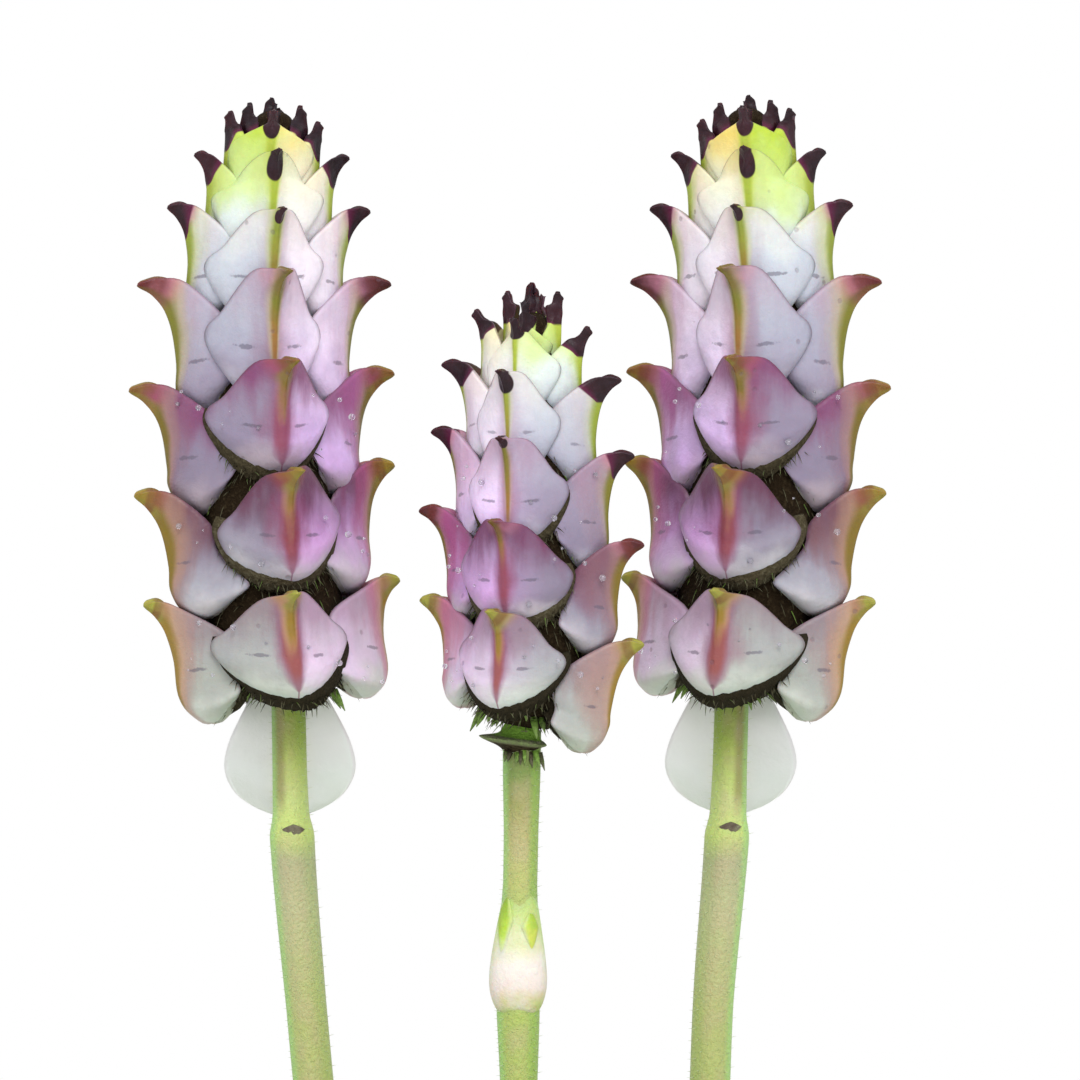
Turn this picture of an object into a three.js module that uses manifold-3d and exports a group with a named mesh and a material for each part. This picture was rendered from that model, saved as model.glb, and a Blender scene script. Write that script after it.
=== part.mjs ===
// Potted flowering house plant: a plain clay pot with soil, leafy shoots with crenate leaves, and one
// branching flowering stem that carries three four-angled spikes of keeled, horned bracts.
// Millimetres, +Z up, the front of the plant faces -Y, the origin is the centre of the pot's underside.
import * as THREE from 'three';
import Module from 'manifold-3d';

const wasm = await Module();
wasm.setup();

// Driving dimensions
const CLEARANCE = 0.3;
const SLIVER = 0.05;

// Radii to the outer face. The band is the thicker collar round the top of the pot.
const POT = {
  height: 86,
  baseRadius: 37,
  bandRadius: 53.5,
  rimRadius: 55.5,
  bandHeight: 21,
  shoulderRadius: 49.5,
  wall: 4.5,
  floor: 6,
  lip: 2,
  foot: { inset: 1, height: 1.2 },
  bandEdge: { inset: 1, height: 1.5 },
  innerStep: { inset: 1, depth: 4 },
  sides: 32,
  drain: { count: 3, radius: 3.5, ring: 19, sides: 12 },
};

// wallGap: extra play beside the pot's faceted wall; crown: a low hump round the pot's axis
const SOIL = {
  edgeHeight: 73,
  crown: { height: 77, radius: 24, fall: 1 },
  footRound: 0.2,
  wallGap: 0.15,
  hole: { sides: 6, play: 0.78 },
  sides: 32,
};

// The three spikes. yaw: turn in degrees, frontShare: height of a front bract as a share of a side bract,
// seat: height of the spike's lowest end, axis: x and height above its base, for the bowed middle line.
// Each tier, from the bottom up: height of the horn tips on the left, right, front and back,
// reach of the horn tips, radius of the keels, height of a side bract, and rise of the horns in degrees.
const TALL_SPIKE = {
  yaw: 13,
  frontShare: 0.86,
  seat: 2.2,
  axis: [[0, 0], [-1.3, 10], [-1.9, 20], [-2, 31], [-1.4, 41], [-1, 48]],
  tiers: [
    { left: 9.2, right: 11.1, front: 10.2, back: 9.8, reach: 10.1, keel: 8.2, drop: 9.4, rise: 40 },
    { left: 17.6, right: 20.0, front: 19.5, back: 18.6, reach: 10.1, keel: 8.0, drop: 9.4, rise: 34 },
    { left: 25.7, right: 27.1, front: 27.8, back: 27.0, reach: 10.1, keel: 7.6, drop: 9.0, rise: 28 },
    { left: 33.8, right: 34.0, front: 34.6, back: 34.4, reach: 9.7, keel: 6.8, drop: 8.2, rise: 30 },
    { left: 39.8, right: 39.6, front: 39.2, back: 39.4, reach: 7.9, keel: 5.7, drop: 6.6, rise: 42 },
    { left: 43.8, right: 43.5, front: 43.0, back: 43.0, reach: 6.0, keel: 4.6, drop: 5.3, rise: 52 },
    { left: 47.0, right: 45.9, front: 45.6, back: 45.9, reach: 3.9, keel: 3.3, drop: 4.6, rise: 62 },
    { left: 47.6, right: 47.9, front: 47.4, back: 47.7, reach: 1.6, keel: 2.0, drop: 3.8, rise: 76 },
  ],
};

const SHORT_SPIKE = {
  yaw: -18,
  frontShare: 0.9,
  seat: 1.6,
  axis: [[0, 0], [0.8, 9], [0.7, 18], [0.7, 27], [0.8, 35]],
  tiers: [
    { left: 11.3, right: 8.0, front: 10.6, back: 9.8, reach: 8.9, keel: 6.9, drop: 7.9, rise: 42 },
    { left: 18.1, right: 15.5, front: 17.3, back: 16.8, reach: 8.7, keel: 6.8, drop: 7.9, rise: 36 },
    { left: 24.1, right: 22.2, front: 23.5, back: 23.2, reach: 7.9, keel: 6.1, drop: 7.2, rise: 36 },
    { left: 29.2, right: 27.9, front: 28.5, back: 28.4, reach: 7.1, keel: 5.3, drop: 6.2, rise: 46 },
    { left: 33.1, right: 31.7, front: 32.3, back: 32.2, reach: 4.6, keel: 3.9, drop: 5.2, rise: 58 },
    { left: 34.4, right: 34.3, front: 34.9, back: 34.2, reach: 2.3, keel: 2.5, drop: 4.2, rise: 70 },
  ],
};

// Stations along a bract, from its root in the stalk, down and round its belly, up to the foot of its horn
// and the tip. out: share of the keel radius, up: share of the bract's height, half: half-width in degrees,
// curl: how much the margins rise in shares of the height, wall and lift: where the inner face lies.
const BRACT_STATIONS = [
  { name: 'root', out: 0.42, up: 0.3, half: 26, curl: 0.02 },
  { name: 'foot', out: 0.76, up: 0.0, half: 34, curl: 0.2 },
  { name: 'belly', out: 1.01, up: 0.3, half: 48, curl: 0.14 },
  { name: 'shoulder', out: 0.99, up: 0.64, half: 42, curl: -0.04, wall: 0.9, lift: 0 },
  { name: 'horn foot', out: 1.0, up: 0.86, half: 13, curl: 0.0, wall: 1.4, lift: 0.3 },
  { name: 'horn tip', out: 1.0, up: 1.0, half: 2.5, curl: 0.0, wall: 0.6, lift: 0.5 },
];
const [, , , SHOULDER, HORN_FOOT, HORN_TIP] = BRACT_STATIONS;
const BRACT_COLUMNS = [-1, 0, 1];
// tuck: how far the margins lie inside the keel, as a share of its radius, at stations of full width;
// narrow: share of the stations' half-widths
const MARGIN = {
  side: { tuck: 0.2, narrow: 0.82 },
  front: { tuck: 0.15, narrow: 1 },
  power: 1.2,
  fullHalf: 40,
};
// start: where the horn bends out, as a share of the keel radius; least: its smallest run in millimetres;
// low: the lowest place of its foot, as a share of the bract's height
const HORN = { start: 0.95, least: 0.6, low: 0.8 };
// The spike's own stalk, inside the bracts
const CORE = { sides: 4, share: 0.6, middle: 0.5, foot: 1.8, top: { radius: 0.6, below: 0.8 } };

// The pale bract that hangs behind the stem: height, half-width and distance behind the spike's axis
const HANGING = {
  rows: [
    { up: 4.0, half: 2.0, back: 1.6 },
    { up: 0.4, half: 4.4, back: 3.4 },
    { up: -2.6, half: 5.0, back: 4.2 },
    { up: -5.6, half: 3.8, back: 3.9 },
    { up: -7.2, half: 1.6, back: 3.2 },
  ],
  cup: 1.2,
  thickness: 0.8,
};

// The flowering stem. Points are x, y, height and radius.
const SPIKE_PLACES = {
  left: { x: -18.0, y: 2, base: 221.9 },
  middle: { x: 0.1, y: -7, base: 220.2 },
  right: { x: 16.3, y: 2, base: 222.1 },
};
const STEM = {
  sides: 6,
  main: [[0, -2, 62.4, 2.8], [0, -2, 84, 2.7], [0.3, -2.2, 108, 2.4], [0, -3, 131, 2.2]],
  left: [[0, -3, 127, 1.7], [-5.5, -1, 140, 1.8], [-12, 1.4, 164, 1.6], [-15.4, 2, 188, 1.5],
    [-16.7, 2, 201, 1.5], [-17.7, 2, 213, 1.65], [-18.0, 2, 221.9, 1.25]],
  middle: [[0, -3, 129, 1.9], [0.6, -5, 150, 1.7], [-0.2, -6.6, 172, 1.6], [-0.15, -7, 195, 1.4],
    [-0.2, -7, 203, 1.55], [0, -7, 212, 1.25], [0.1, -7, 220.2, 1.35]],
  right: [[0, -3, 127, 1.7], [5, -1, 140, 1.8], [10.8, 1.4, 164, 1.6], [14.2, 2, 188, 1.5],
    [14.9, 2, 201, 1.5], [15.9, 2, 213, 1.65], [16.3, 2, 221.9, 1.25]],
};

// Side buds of the middle stem: distance from the stem's middle line, height and radius
const SIDE_BUD = {
  offset: { x: -0.1, y: -7.5 },
  sides: 6,
  stations: [[0.3, 200.6, 0.6], [1.2, 202.4, 1.15], [1.25, 205.2, 1.05]],
  tip: { out: 1.1, y: -7.4, height: 208.6, radius: 0.35, leftLonger: 1.0 },
};

// Leaf pairs on the flowering stem: point on the stem, heading of the first leaf and length,
// with the rise at the root and the droop along the leaf in degrees
const STEM_LEAVES = [
  { at: [0, -3, 129], heading: 60, length: 25, rise: 24, droop: 60 },
  { at: [-8.0, 0, 148], heading: 75, length: 25, rise: 38, droop: 70 },
  { at: [9.4, 0.9, 156], heading: 105, length: 25, rise: 38, droop: 70 },
  { at: [-13.2, 1.7, 170], heading: 172, length: 17, rise: 42, droop: 66 },
  { at: [13.0, 1.8, 177], heading: 8, length: 17, rise: 42, droop: 66 },
  { at: [-0.2, -6.8, 182], heading: 90, length: 20, rise: 34, droop: 66 },
];

// Shoots. stalk: points as distance from the pot's axis, height and radius.
// pairs: share of the stalk, length, rise and droop of the outer leaf; roll: most twist of a leaf.
// turn: angle between a leaf pair and the shoot's own heading, stagger: how much higher the pairs below the
// tip sit on every second shoot, innerShare and innerRise: the leaf that faces the middle of the pot,
// taller: spread of the shoots' heights. All angles are in degrees.
const UPRIGHT_SHOOT = {
  count: 6,
  firstAngle: 30,
  stalk: [[23, 62.4, 2.4], [23, 80, 2.3], [29, 108, 2.0], [38, 138, 1.7], [43, 162, 1.2]],
  pairs: [
    { at: 0.52, length: 37, rise: 10, droop: 58 },
    { at: 0.68, length: 40, rise: 18, droop: 74 },
    { at: 0.84, length: 36, rise: 34, droop: 80 },
    { at: 0.97, length: 22, rise: 58, droop: 50 },
  ],
  turn: 48,
  stagger: 0.06,
  innerShare: 0.62,
  innerRise: 22,
  taller: 0.05,
  roll: 8,
};
// Low shoots. sweep: angle between each leaf of a pair and the shoot, in degrees
const LOW_SHOOT = {
  count: 6,
  firstAngle: 0,
  stalk: [[38, 62.4, 2.2], [38, 76, 2.1], [45, 90, 1.9], [58, 96, 1.6], [73, 92, 1.0]],
  pairs: [
    { at: 0.57, length: 31, rise: 20, droop: 60 },
    { at: 0.77, length: 35, rise: 34, droop: 84 },
    { at: 0.96, length: 24, rise: 10, droop: 60 },
  ],
  sweep: [64, 46, 30],
  roll: 10,
};
const SHOOT_STALK = { sides: 5, perSpan: 2 };

// widthShare and petiole: shares of the length. notch: half-width of every second station as a share, for a
// scalloped margin. fold: rise of the margins over the midrib, as a share of the half-width.
const LEAF = {
  widthShare: 0.68,
  petiole: 0.15,
  petioleWidth: 1.7,
  thickness: 1.6,
  fold: 0.2,
  smallLength: 25,
  stations: [0, 0.16, 0.34, 0.48, 0.62, 0.76, 0.89, 1],
  smallStations: [0, 0.18, 0.42, 0.6, 0.82, 1],
  notch: 0.88,
  widest: 1.15,
  fullness: 0.9,
  thinTip: 0.97,
};

const MATERIALS = {
  clay: { color: 0xb5673f, roughness: 0.9 },
  soil: { color: 0x3b2a1e, roughness: 1 },
  stem: { color: 0xb4c077, roughness: 0.7 },
  leaf: { color: 0x7c9a55, roughness: 0.7 },
  spike: { color: 0xc9b4d6, roughness: 0.6 },
};

const radians = THREE.MathUtils.degToRad;
const vector = (x, y, z) => new THREE.Vector3(x, y, z);

// Even but unrepeating spread of values between -1 and 1, the same for the same count
function spread(count) {
  const turned = count * 0.6180339887;
  return 2 * (turned - Math.floor(turned)) - 1;
}

// Solids
function solidOf(points, triangles) {
  let volume = 0;
  for (let i = 0; i < triangles.length; i += 3) {
    const [a, b, c] = [points[triangles[i]], points[triangles[i + 1]], points[triangles[i + 2]]];
    volume += a.dot(vector(0, 0, 0).crossVectors(b, c));
  }
  const facing = volume < 0 ? triangles.slice().reverse() : triangles;
  const vertProperties = new Float32Array(points.length * 3);
  points.forEach((point, i) => point.toArray(vertProperties, i * 3));
  const triVerts = new Uint32Array(facing);
  return new wasm.Manifold(new wasm.Mesh({ numProp: 3, vertProperties, triVerts }));
}

// A blade between two grids of points, both split into triangles alike, with a rim round its edge
function blade(outer, inner) {
  const rows = outer.length;
  const columns = outer[0].length;
  const size = rows * columns;
  const triangles = [];
  for (let i = 0; i < rows - 1; i += 1) {
    for (let j = 0; j < columns - 1; j += 1) {
      const a = i * columns + j;
      const b = a + 1;
      const c = b + columns;
      const d = a + columns;
      triangles.push(a, b, c, a, c, d);
      triangles.push(a + size, c + size, b + size, a + size, d + size, c + size);
    }
  }
  const rim = [];
  for (let j = 0; j < columns - 1; j += 1) rim.push(j);
  for (let i = 0; i < rows - 1; i += 1) rim.push(i * columns + columns - 1);
  for (let j = columns - 1; j > 0; j -= 1) rim.push((rows - 1) * columns + j);
  for (let i = rows - 1; i > 0; i -= 1) rim.push(i * columns);
  rim.forEach((p, k) => {
    const q = rim[(k + 1) % rim.length];
    triangles.push(q, p, p + size, q, p + size, q + size);
  });
  return solidOf([...outer.flat(), ...inner.flat()], triangles);
}

// A shell whose inner face has only the last rows, and runs straight back from them to the first outer row
function wedge(outer, inner) {
  const columns = outer[0].length;
  const first = outer.length - inner.length;
  const points = [...outer.flat(), ...inner.flat()];
  const triangles = [];
  const quad = (a, b, c, d) => triangles.push(a, b, c, a, c, d);
  const out = (i, j) => i * columns + j;
  const back = (i, j) => (outer.length + i - first) * columns + j;
  const last = outer.length - 1;
  for (let j = 0; j < columns - 1; j += 1) {
    for (let i = 0; i < last; i += 1) quad(out(i, j), out(i, j + 1), out(i + 1, j + 1), out(i + 1, j));
    for (let i = first; i < last; i += 1) {
      triangles.push(back(i, j), back(i + 1, j + 1), back(i, j + 1));
      triangles.push(back(i, j), back(i + 1, j), back(i + 1, j + 1));
    }
    quad(out(0, j), back(first, j), back(first, j + 1), out(0, j + 1));
    quad(out(last, j + 1), back(last, j + 1), back(last, j), out(last, j));
  }
  [0, columns - 1].forEach((j) => {
    const turnedRound = j > 0;
    const face = (a, b, c) => triangles.push(...(turnedRound ? [a, c, b] : [a, b, c]));
    for (let i = 0; i < first; i += 1) face(back(first, j), out(i, j), out(i + 1, j));
    for (let i = first; i < last; i += 1) {
      face(out(i, j), out(i + 1, j), back(i + 1, j));
      face(out(i, j), back(i + 1, j), back(i, j));
    }
  });
  return solidOf(points, triangles);
}

// A thick-ribbed leaf of rows, each with a left and right margin, a top and an underside
function lens(rows) {
  const points = rows.flatMap(({ left, top, right, under }) => [left, top, right, under]);
  const triangles = [1, 0, 3, 1, 3, 2];
  for (let i = 0; i < rows.length - 1; i += 1) {
    const [left, top, right, under] = [4 * i, 4 * i + 1, 4 * i + 2, 4 * i + 3];
    triangles.push(left, top, top + 4, left, top + 4, left + 4);
    triangles.push(left, under + 4, under, left, left + 4, under + 4);
    triangles.push(right, top + 4, top, right, right + 4, top + 4);
    triangles.push(right, under, under + 4, right, under + 4, right + 4);
  }
  const [left, top, right, under] = [0, 1, 2, 3].map((corner) => 4 * (rows.length - 1) + corner);
  triangles.push(top, under, left, top, right, under);
  return solidOf(points, triangles);
}

// A stalk of rings round a smooth path, flat at both ends. side is a direction across the path.
function stalk(stations, side, sides, perSpan) {
  const stops = stations.map(([x, y, z]) => vector(x, y, z));
  const path = new THREE.CatmullRomCurve3(stops, false, 'centripetal');
  const spans = stations.length - 1;
  const steps = spans * perSpan;
  const points = [];
  for (let i = 0; i <= steps; i += 1) {
    const share = i / steps;
    const centre = path.getPoint(share);
    const along = path.getTangent(share);
    const across = side.clone().addScaledVector(along, -side.dot(along)).normalize();
    const third = vector(0, 0, 0).crossVectors(along, across);
    const span = Math.min(Math.floor(share * spans), spans - 1);
    const radius = THREE.MathUtils.lerp(stations[span][3], stations[span + 1][3], share * spans - span);
    for (let k = 0; k < sides; k += 1) {
      const angle = (2 * Math.PI * (k + 0.5)) / sides;
      points.push(centre.clone().addScaledVector(across, radius * Math.cos(angle))
        .addScaledVector(third, radius * Math.sin(angle)));
    }
  }
  const triangles = [];
  for (let i = 0; i < steps; i += 1) {
    for (let k = 0; k < sides; k += 1) {
      const a = i * sides + k;
      const b = i * sides + ((k + 1) % sides);
      triangles.push(a, b, b + sides, a, b + sides, a + sides);
    }
  }
  for (let k = 1; k < sides - 1; k += 1) {
    const last = steps * sides;
    triangles.push(0, k + 1, k, last, last + k, last + k + 1);
  }
  return { solid: solidOf(points, triangles), path };
}

// Joins a list of solids, keeps the largest connected body and flattens slivers
function fuse(solids) {
  const pieces = wasm.Manifold.union(solids).decompose();
  const whole = pieces.reduce((best, piece) => (piece.volume() > best.volume() ? piece : best));
  return whole.simplify(SLIVER);
}

// A solid turned round the pot's axis, from a profile of radius and height that starts and ends on the axis
function turned(profile, sides) {
  const points = [];
  const triangles = [];
  const rings = profile.length - 2;
  points.push(vector(0, 0, profile[0][1]));
  for (let i = 1; i <= rings; i += 1) {
    for (let k = 0; k < sides; k += 1) {
      const angle = (2 * Math.PI * k) / sides;
      points.push(vector(profile[i][0] * Math.cos(angle), profile[i][0] * Math.sin(angle), profile[i][1]));
    }
  }
  points.push(vector(0, 0, profile[profile.length - 1][1]));
  const at = (ring, k) => 1 + (ring - 1) * sides + (k % sides);
  for (let k = 0; k < sides; k += 1) {
    triangles.push(0, at(1, k + 1), at(1, k));
    triangles.push(points.length - 1, at(rings, k), at(rings, k + 1));
    for (let i = 1; i < rings; i += 1) {
      triangles.push(at(i, k), at(i, k + 1), at(i + 1, k + 1), at(i, k), at(i + 1, k + 1), at(i + 1, k));
    }
  }
  return solidOf(points, triangles);
}

// An upright bar, for cutting holes
function upright(x, y, low, high, radius, sides) {
  return stalk([[x, y, low, radius], [x, y, high, radius]], vector(1, 0, 0), sides, 1).solid;
}

// Pot
const bandFoot = POT.height - POT.bandHeight;

// The inner corners of the pot's wall, from the floor up
const POT_INSIDE = {
  low: { radius: POT.baseRadius - POT.wall, height: POT.floor },
  middle: {
    radius: POT.shoulderRadius - POT.wall + POT.innerStep.inset,
    height: bandFoot - POT.innerStep.depth,
  },
  top: { radius: POT.rimRadius - POT.wall, height: POT.height - POT.lip },
};

function makePot() {
  const { lip, foot, bandEdge, drain } = POT;
  const { low, middle, top } = POT_INSIDE;
  const profile = [
    [0, 0],
    [POT.baseRadius - foot.inset, 0],
    [POT.baseRadius, foot.height],
    [POT.shoulderRadius, bandFoot],
    [POT.bandRadius - bandEdge.inset, bandFoot],
    [POT.bandRadius, bandFoot + bandEdge.height],
    [POT.rimRadius, POT.height - lip],
    [POT.rimRadius - lip / 2, POT.height],
    [POT.rimRadius - POT.wall + lip / 2, POT.height],
    [top.radius, top.height],
    [middle.radius, middle.height],
    [low.radius, low.height],
    [0, POT.floor],
  ];
  let pot = turned(profile, POT.sides);
  for (let k = 0; k < drain.count; k += 1) {
    const angle = radians(90 + (360 * k) / drain.count);
    const x = drain.ring * Math.cos(angle);
    const y = drain.ring * Math.sin(angle);
    pot = pot.subtract(upright(x, y, -1, POT.floor + 1, drain.radius, drain.sides));
  }
  return pot;
}

// Soil, with a plain hole for each stalk
function makeSoil(roots) {
  const { crown, hole } = SOIL;
  const { low, middle, top } = POT_INSIDE;
  const inner = (height) => {
    const [a, b] = height < middle.height ? [low, middle] : [middle, top];
    const wall = THREE.MathUtils.mapLinear(height, a.height, b.height, a.radius, b.radius);
    return wall - CLEARANCE - SOIL.wallGap;
  };
  const foot = POT.floor + CLEARANCE;
  const profile = [
    [0, foot],
    [inner(foot) - SOIL.footRound, foot],
    [inner(middle.height), middle.height],
    [inner(SOIL.edgeHeight), SOIL.edgeHeight],
    [crown.radius, crown.height - crown.fall],
    [0, crown.height],
  ];
  let soil = turned(profile, SOIL.sides);
  roots.forEach(({ x, y, foot: end, radius }) => {
    const cutter = upright(x, y, end - CLEARANCE, crown.height + 2, radius + hole.play, hole.sides);
    soil = soil.subtract(cutter);
  });
  return soil;
}

// Leaf: the midrib is an arc that starts at the rise and bends down by the droop. The outline is widest
// past its middle, with notched margins, and both halves are folded up along the midrib.
function leaf({ root, heading, rise, droop, length, roll = 0 }) {
  const forward = vector(Math.cos(radians(heading)), Math.sin(radians(heading)), 0);
  const up = vector(0, 0, 1);
  const acrossFlat = vector(0, 0, 0).crossVectors(up, forward);
  const bend = radians(droop);
  const start = radians(rise);
  const stations = length < LEAF.smallLength ? LEAF.smallStations : LEAF.stations;
  const rows = stations.map((share, i) => {
    const angle = start - bend * share;
    const reach = (length * (Math.sin(start) - Math.sin(angle))) / bend;
    const climb = (length * (Math.cos(angle) - Math.cos(start))) / bend;
    const middle = root.clone().addScaledVector(forward, reach).addScaledVector(up, climb);
    const normalFlat = forward.clone().multiplyScalar(-Math.sin(angle));
    normalFlat.addScaledVector(up, Math.cos(angle));
    const tilt = radians(roll) * share;
    const across = acrossFlat.clone().multiplyScalar(Math.cos(tilt));
    across.addScaledVector(normalFlat, Math.sin(tilt));
    const normal = normalFlat.clone().multiplyScalar(Math.cos(tilt));
    normal.addScaledVector(acrossFlat, -Math.sin(tilt));
    const half = leafHalfWidth(share, length) * (i > 1 && i % 2 === 1 ? LEAF.notch : 1);
    const margin = (side) => middle.clone().addScaledVector(across, half * side)
      .addScaledVector(normal, LEAF.fold * half);
    const thick = share > LEAF.thinTip ? LEAF.thickness / 2 : LEAF.thickness;
    return {
      left: margin(1),
      right: margin(-1),
      top: middle.clone().addScaledVector(normal, thick / 2),
      under: middle.clone().addScaledVector(normal, -thick / 2),
    };
  });
  return lens(rows);
}

// Half-width of a leaf at a share of its length: a thin petiole, then a blade that ends in a blunt tip
function leafHalfWidth(share, length) {
  const along = Math.max(share - LEAF.petiole, 0) / (1 - LEAF.petiole);
  const round = Math.sqrt(Math.max(1 - (2 * along ** LEAF.widest - 1) ** 2, 0)) ** LEAF.fullness;
  return Math.max((length * LEAF.widthShare * round) / 2, LEAF.petioleWidth / 2);
}

// Bract: a keeled cup that wraps its side of the spike and ends in a horn. Its free upper wall is thin,
// and below that its inside runs straight back to its root, where the spike's core fills it.
function bract(spike, tier, side) {
  const facing = { right: 0, back: 90, left: 180, front: 270 }[side] + spike.yaw;
  const isSide = side === 'left' || side === 'right';
  const height = tier.drop * (isSide ? 1 : spike.frontShare);
  const low = tier[side] - height;
  const { tuck, narrow } = isSide ? MARGIN.side : MARGIN.front;
  const hornRun = Math.max(tier.reach - HORN.start * tier.keel, HORN.least);
  const hornRise = hornRun * Math.tan(radians(tier.rise));
  const hornFoot = Math.max(tier[side] - hornRise, low + HORN.low * height);
  const rowAt = (station, inward = false) => BRACT_COLUMNS.map((share) => {
    const keelOut = station === HORN_TIP ? tier.reach : station.out * tier.keel;
    const keelUp = { [HORN_TIP.name]: tier[side], [HORN_FOOT.name]: hornFoot }[station.name]
      ?? low + station.up * height;
    const angle = radians(facing + share * station.half * narrow);
    const cupping = Math.abs(share) ** MARGIN.power * Math.min(1, station.half / MARGIN.fullHalf);
    const out = keelOut * (1 - tuck * cupping);
    const up = keelUp + station.curl * height * share * share;
    const across = vector(Math.cos(angle), Math.sin(angle), 0);
    const { wall = 0, lift = 0 } = inward ? station : {};
    return vector(axisAt(spike, up), 0, up + lift).addScaledVector(across, out - wall);
  });
  const outer = BRACT_STATIONS.map((station) => rowAt(station));
  const inner = [SHOULDER, HORN_FOOT, HORN_TIP].map((station) => rowAt(station, true));
  return wedge(outer, inner);
}

// Sideways place of a spike's bowed middle line at a height above its base
function axisAt(spike, height) {
  const { axis } = spike;
  const last = axis.length - 1;
  if (height <= axis[0][1]) return axis[0][0];
  if (height >= axis[last][1]) return axis[last][0];
  const i = axis.findIndex(([, up]) => up > height) - 1;
  return THREE.MathUtils.mapLinear(height, axis[i][1], axis[i + 1][1], axis[i][0], axis[i + 1][0]);
}

function makeSpike(spike) {
  const top = spike.tiers[spike.tiers.length - 1].front - CORE.top.below;
  const core = [[axisAt(spike, spike.seat), 0, spike.seat, CORE.foot]];
  spike.tiers.forEach((tier) => {
    const middle = tier.front - tier.drop * CORE.middle;
    core.push([axisAt(spike, middle), 0, middle, tier.keel * CORE.share]);
  });
  core.push([axisAt(spike, top), 0, top, CORE.top.radius]);
  const solids = [stalk(core, vector(1, 0, 0), CORE.sides, 1).solid];
  spike.tiers.forEach((tier) => {
    ['left', 'right', 'front', 'back'].forEach((side) => solids.push(bract(spike, tier, side)));
  });
  return solids;
}

// The pale rounded bract that hangs behind the stem under a tall spike
function hangingBract() {
  const outer = [];
  const inner = [];
  HANGING.rows.forEach(({ up, half, back }) => {
    const row = [-1, 0, 1].map((share) => vector(share * half, back - HANGING.cup * share * share, up));
    inner.push(row);
    outer.push(row.map((point) => vector(point.x, point.y + HANGING.thickness, point.z)));
  });
  return blade(outer, inner);
}

// The flowering stem with its leaves and side buds
function makeFloweringStem() {
  const across = vector(1, 0, 0);
  const solids = ['main', 'left', 'middle', 'right'].map((name) => {
    const stations = STEM[name].map((point) => [...point]);
    const spike = { left: TALL_SPIKE, right: TALL_SPIKE, middle: SHORT_SPIKE }[name];
    if (spike) stations[stations.length - 1][2] = SPIKE_PLACES[name].base + spike.seat - CLEARANCE;
    return stalk(stations, across, STEM.sides, 1).solid;
  });
  STEM_LEAVES.forEach(({ at, heading, length, rise, droop }) => {
    [0, 180].forEach((turn) => {
      solids.push(leaf({ root: vector(...at), heading: heading + turn, rise, droop, length }));
    });
  });
  solids.push(...sideBuds());
  return fuse(solids);
}

// Pair of pointed buds in the leaf axils of the middle stem, the left one longer
function sideBuds() {
  const { offset, sides, stations, tip } = SIDE_BUD;
  return [-1, 1].map((side) => {
    const path = stations.map(([out, up, radius]) => [offset.x + side * out, offset.y, up, radius]);
    path.push([offset.x + side * tip.out, tip.y, tip.height - side * tip.leftLonger, tip.radius]);
    return stalk(path, vector(1, 0, 0), sides, 1).solid;
  });
}

// Leafy shoots
function polar(radius, angle, height) {
  return vector(radius * Math.cos(radians(angle)), radius * Math.sin(radians(angle)), height);
}

function makeUprightShoot(index) {
  const shoot = UPRIGHT_SHOOT;
  const angle = shoot.firstAngle + (360 * index) / shoot.count;
  const taller = 1 + shoot.taller * spread(index + 1);
  const stations = shoot.stalk.map(([out, up, radius]) => {
    const point = polar(out, angle, up < POT.height ? up : POT.height + (up - POT.height) * taller);
    return [point.x, point.y, point.z, radius];
  });
  const { solid, path } = stalk(stations, polar(1, angle + 90, 0), SHOOT_STALK.sides, SHOOT_STALK.perSpan);
  const solids = [solid];
  shoot.pairs.forEach(({ at, length, rise, droop }, k) => {
    const share = k < shoot.pairs.length - 1 ? at + (index % 2) * shoot.stagger : at;
    const root = path.getPoint(share);
    const turn = (k % 2 ? -1 : 1) * shoot.turn;
    const roll = shoot.roll * spread(index * 7 + k);
    solids.push(leaf({ root, heading: angle + turn, rise, droop, length, roll }));
    solids.push(leaf({
      root,
      heading: angle + turn + 180,
      rise: rise + shoot.innerRise,
      droop,
      length: length * shoot.innerShare,
      roll,
    }));
  });
  return fuse(solids);
}

function makeLowShoot(index) {
  const shoot = LOW_SHOOT;
  const angle = shoot.firstAngle + (360 * index) / shoot.count;
  const stations = shoot.stalk.map(([out, up, radius]) => {
    const point = polar(out, angle, up);
    return [point.x, point.y, point.z, radius];
  });
  const { solid, path } = stalk(stations, polar(1, angle + 90, 0), SHOOT_STALK.sides, SHOOT_STALK.perSpan);
  const solids = [solid];
  shoot.pairs.forEach(({ at, length, rise, droop }, k) => {
    const root = path.getPoint(at);
    const sweep = shoot.sweep[k];
    [-1, 1].forEach((side) => {
      const roll = shoot.roll * spread(index * 5 + k + side);
      solids.push(leaf({ root, heading: angle + side * sweep, rise, droop, length, roll }));
    });
  });
  return fuse(solids);
}

// The plant
const group = new THREE.Group();

function addNode(name, solid, material, place = [0, 0, 0]) {
  const { vertProperties, triVerts } = solid.getMesh();
  const geometry = new THREE.BufferGeometry();
  geometry.setAttribute('position', new THREE.BufferAttribute(new Float32Array(vertProperties), 3));
  geometry.setIndex(new THREE.BufferAttribute(new Uint32Array(triVerts), 1));
  geometry.computeVertexNormals();
  const mesh = new THREE.Mesh(geometry, new THREE.MeshStandardMaterial({ ...material, metalness: 0 }));
  mesh.name = name;
  mesh.position.set(...place);
  group.add(mesh);
}

function mirrored(spike) {
  return {
    ...spike,
    yaw: -spike.yaw,
    axis: spike.axis.map(([x, up]) => [-x, up]),
    tiers: spike.tiers.map((tier) => ({ ...tier, left: tier.right, right: tier.left })),
  };
}

function placeOf(name) {
  const { x, y, base } = SPIKE_PLACES[name];
  return [x, y, base];
}

addNode('pot', makePot(), MATERIALS.clay);

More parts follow.
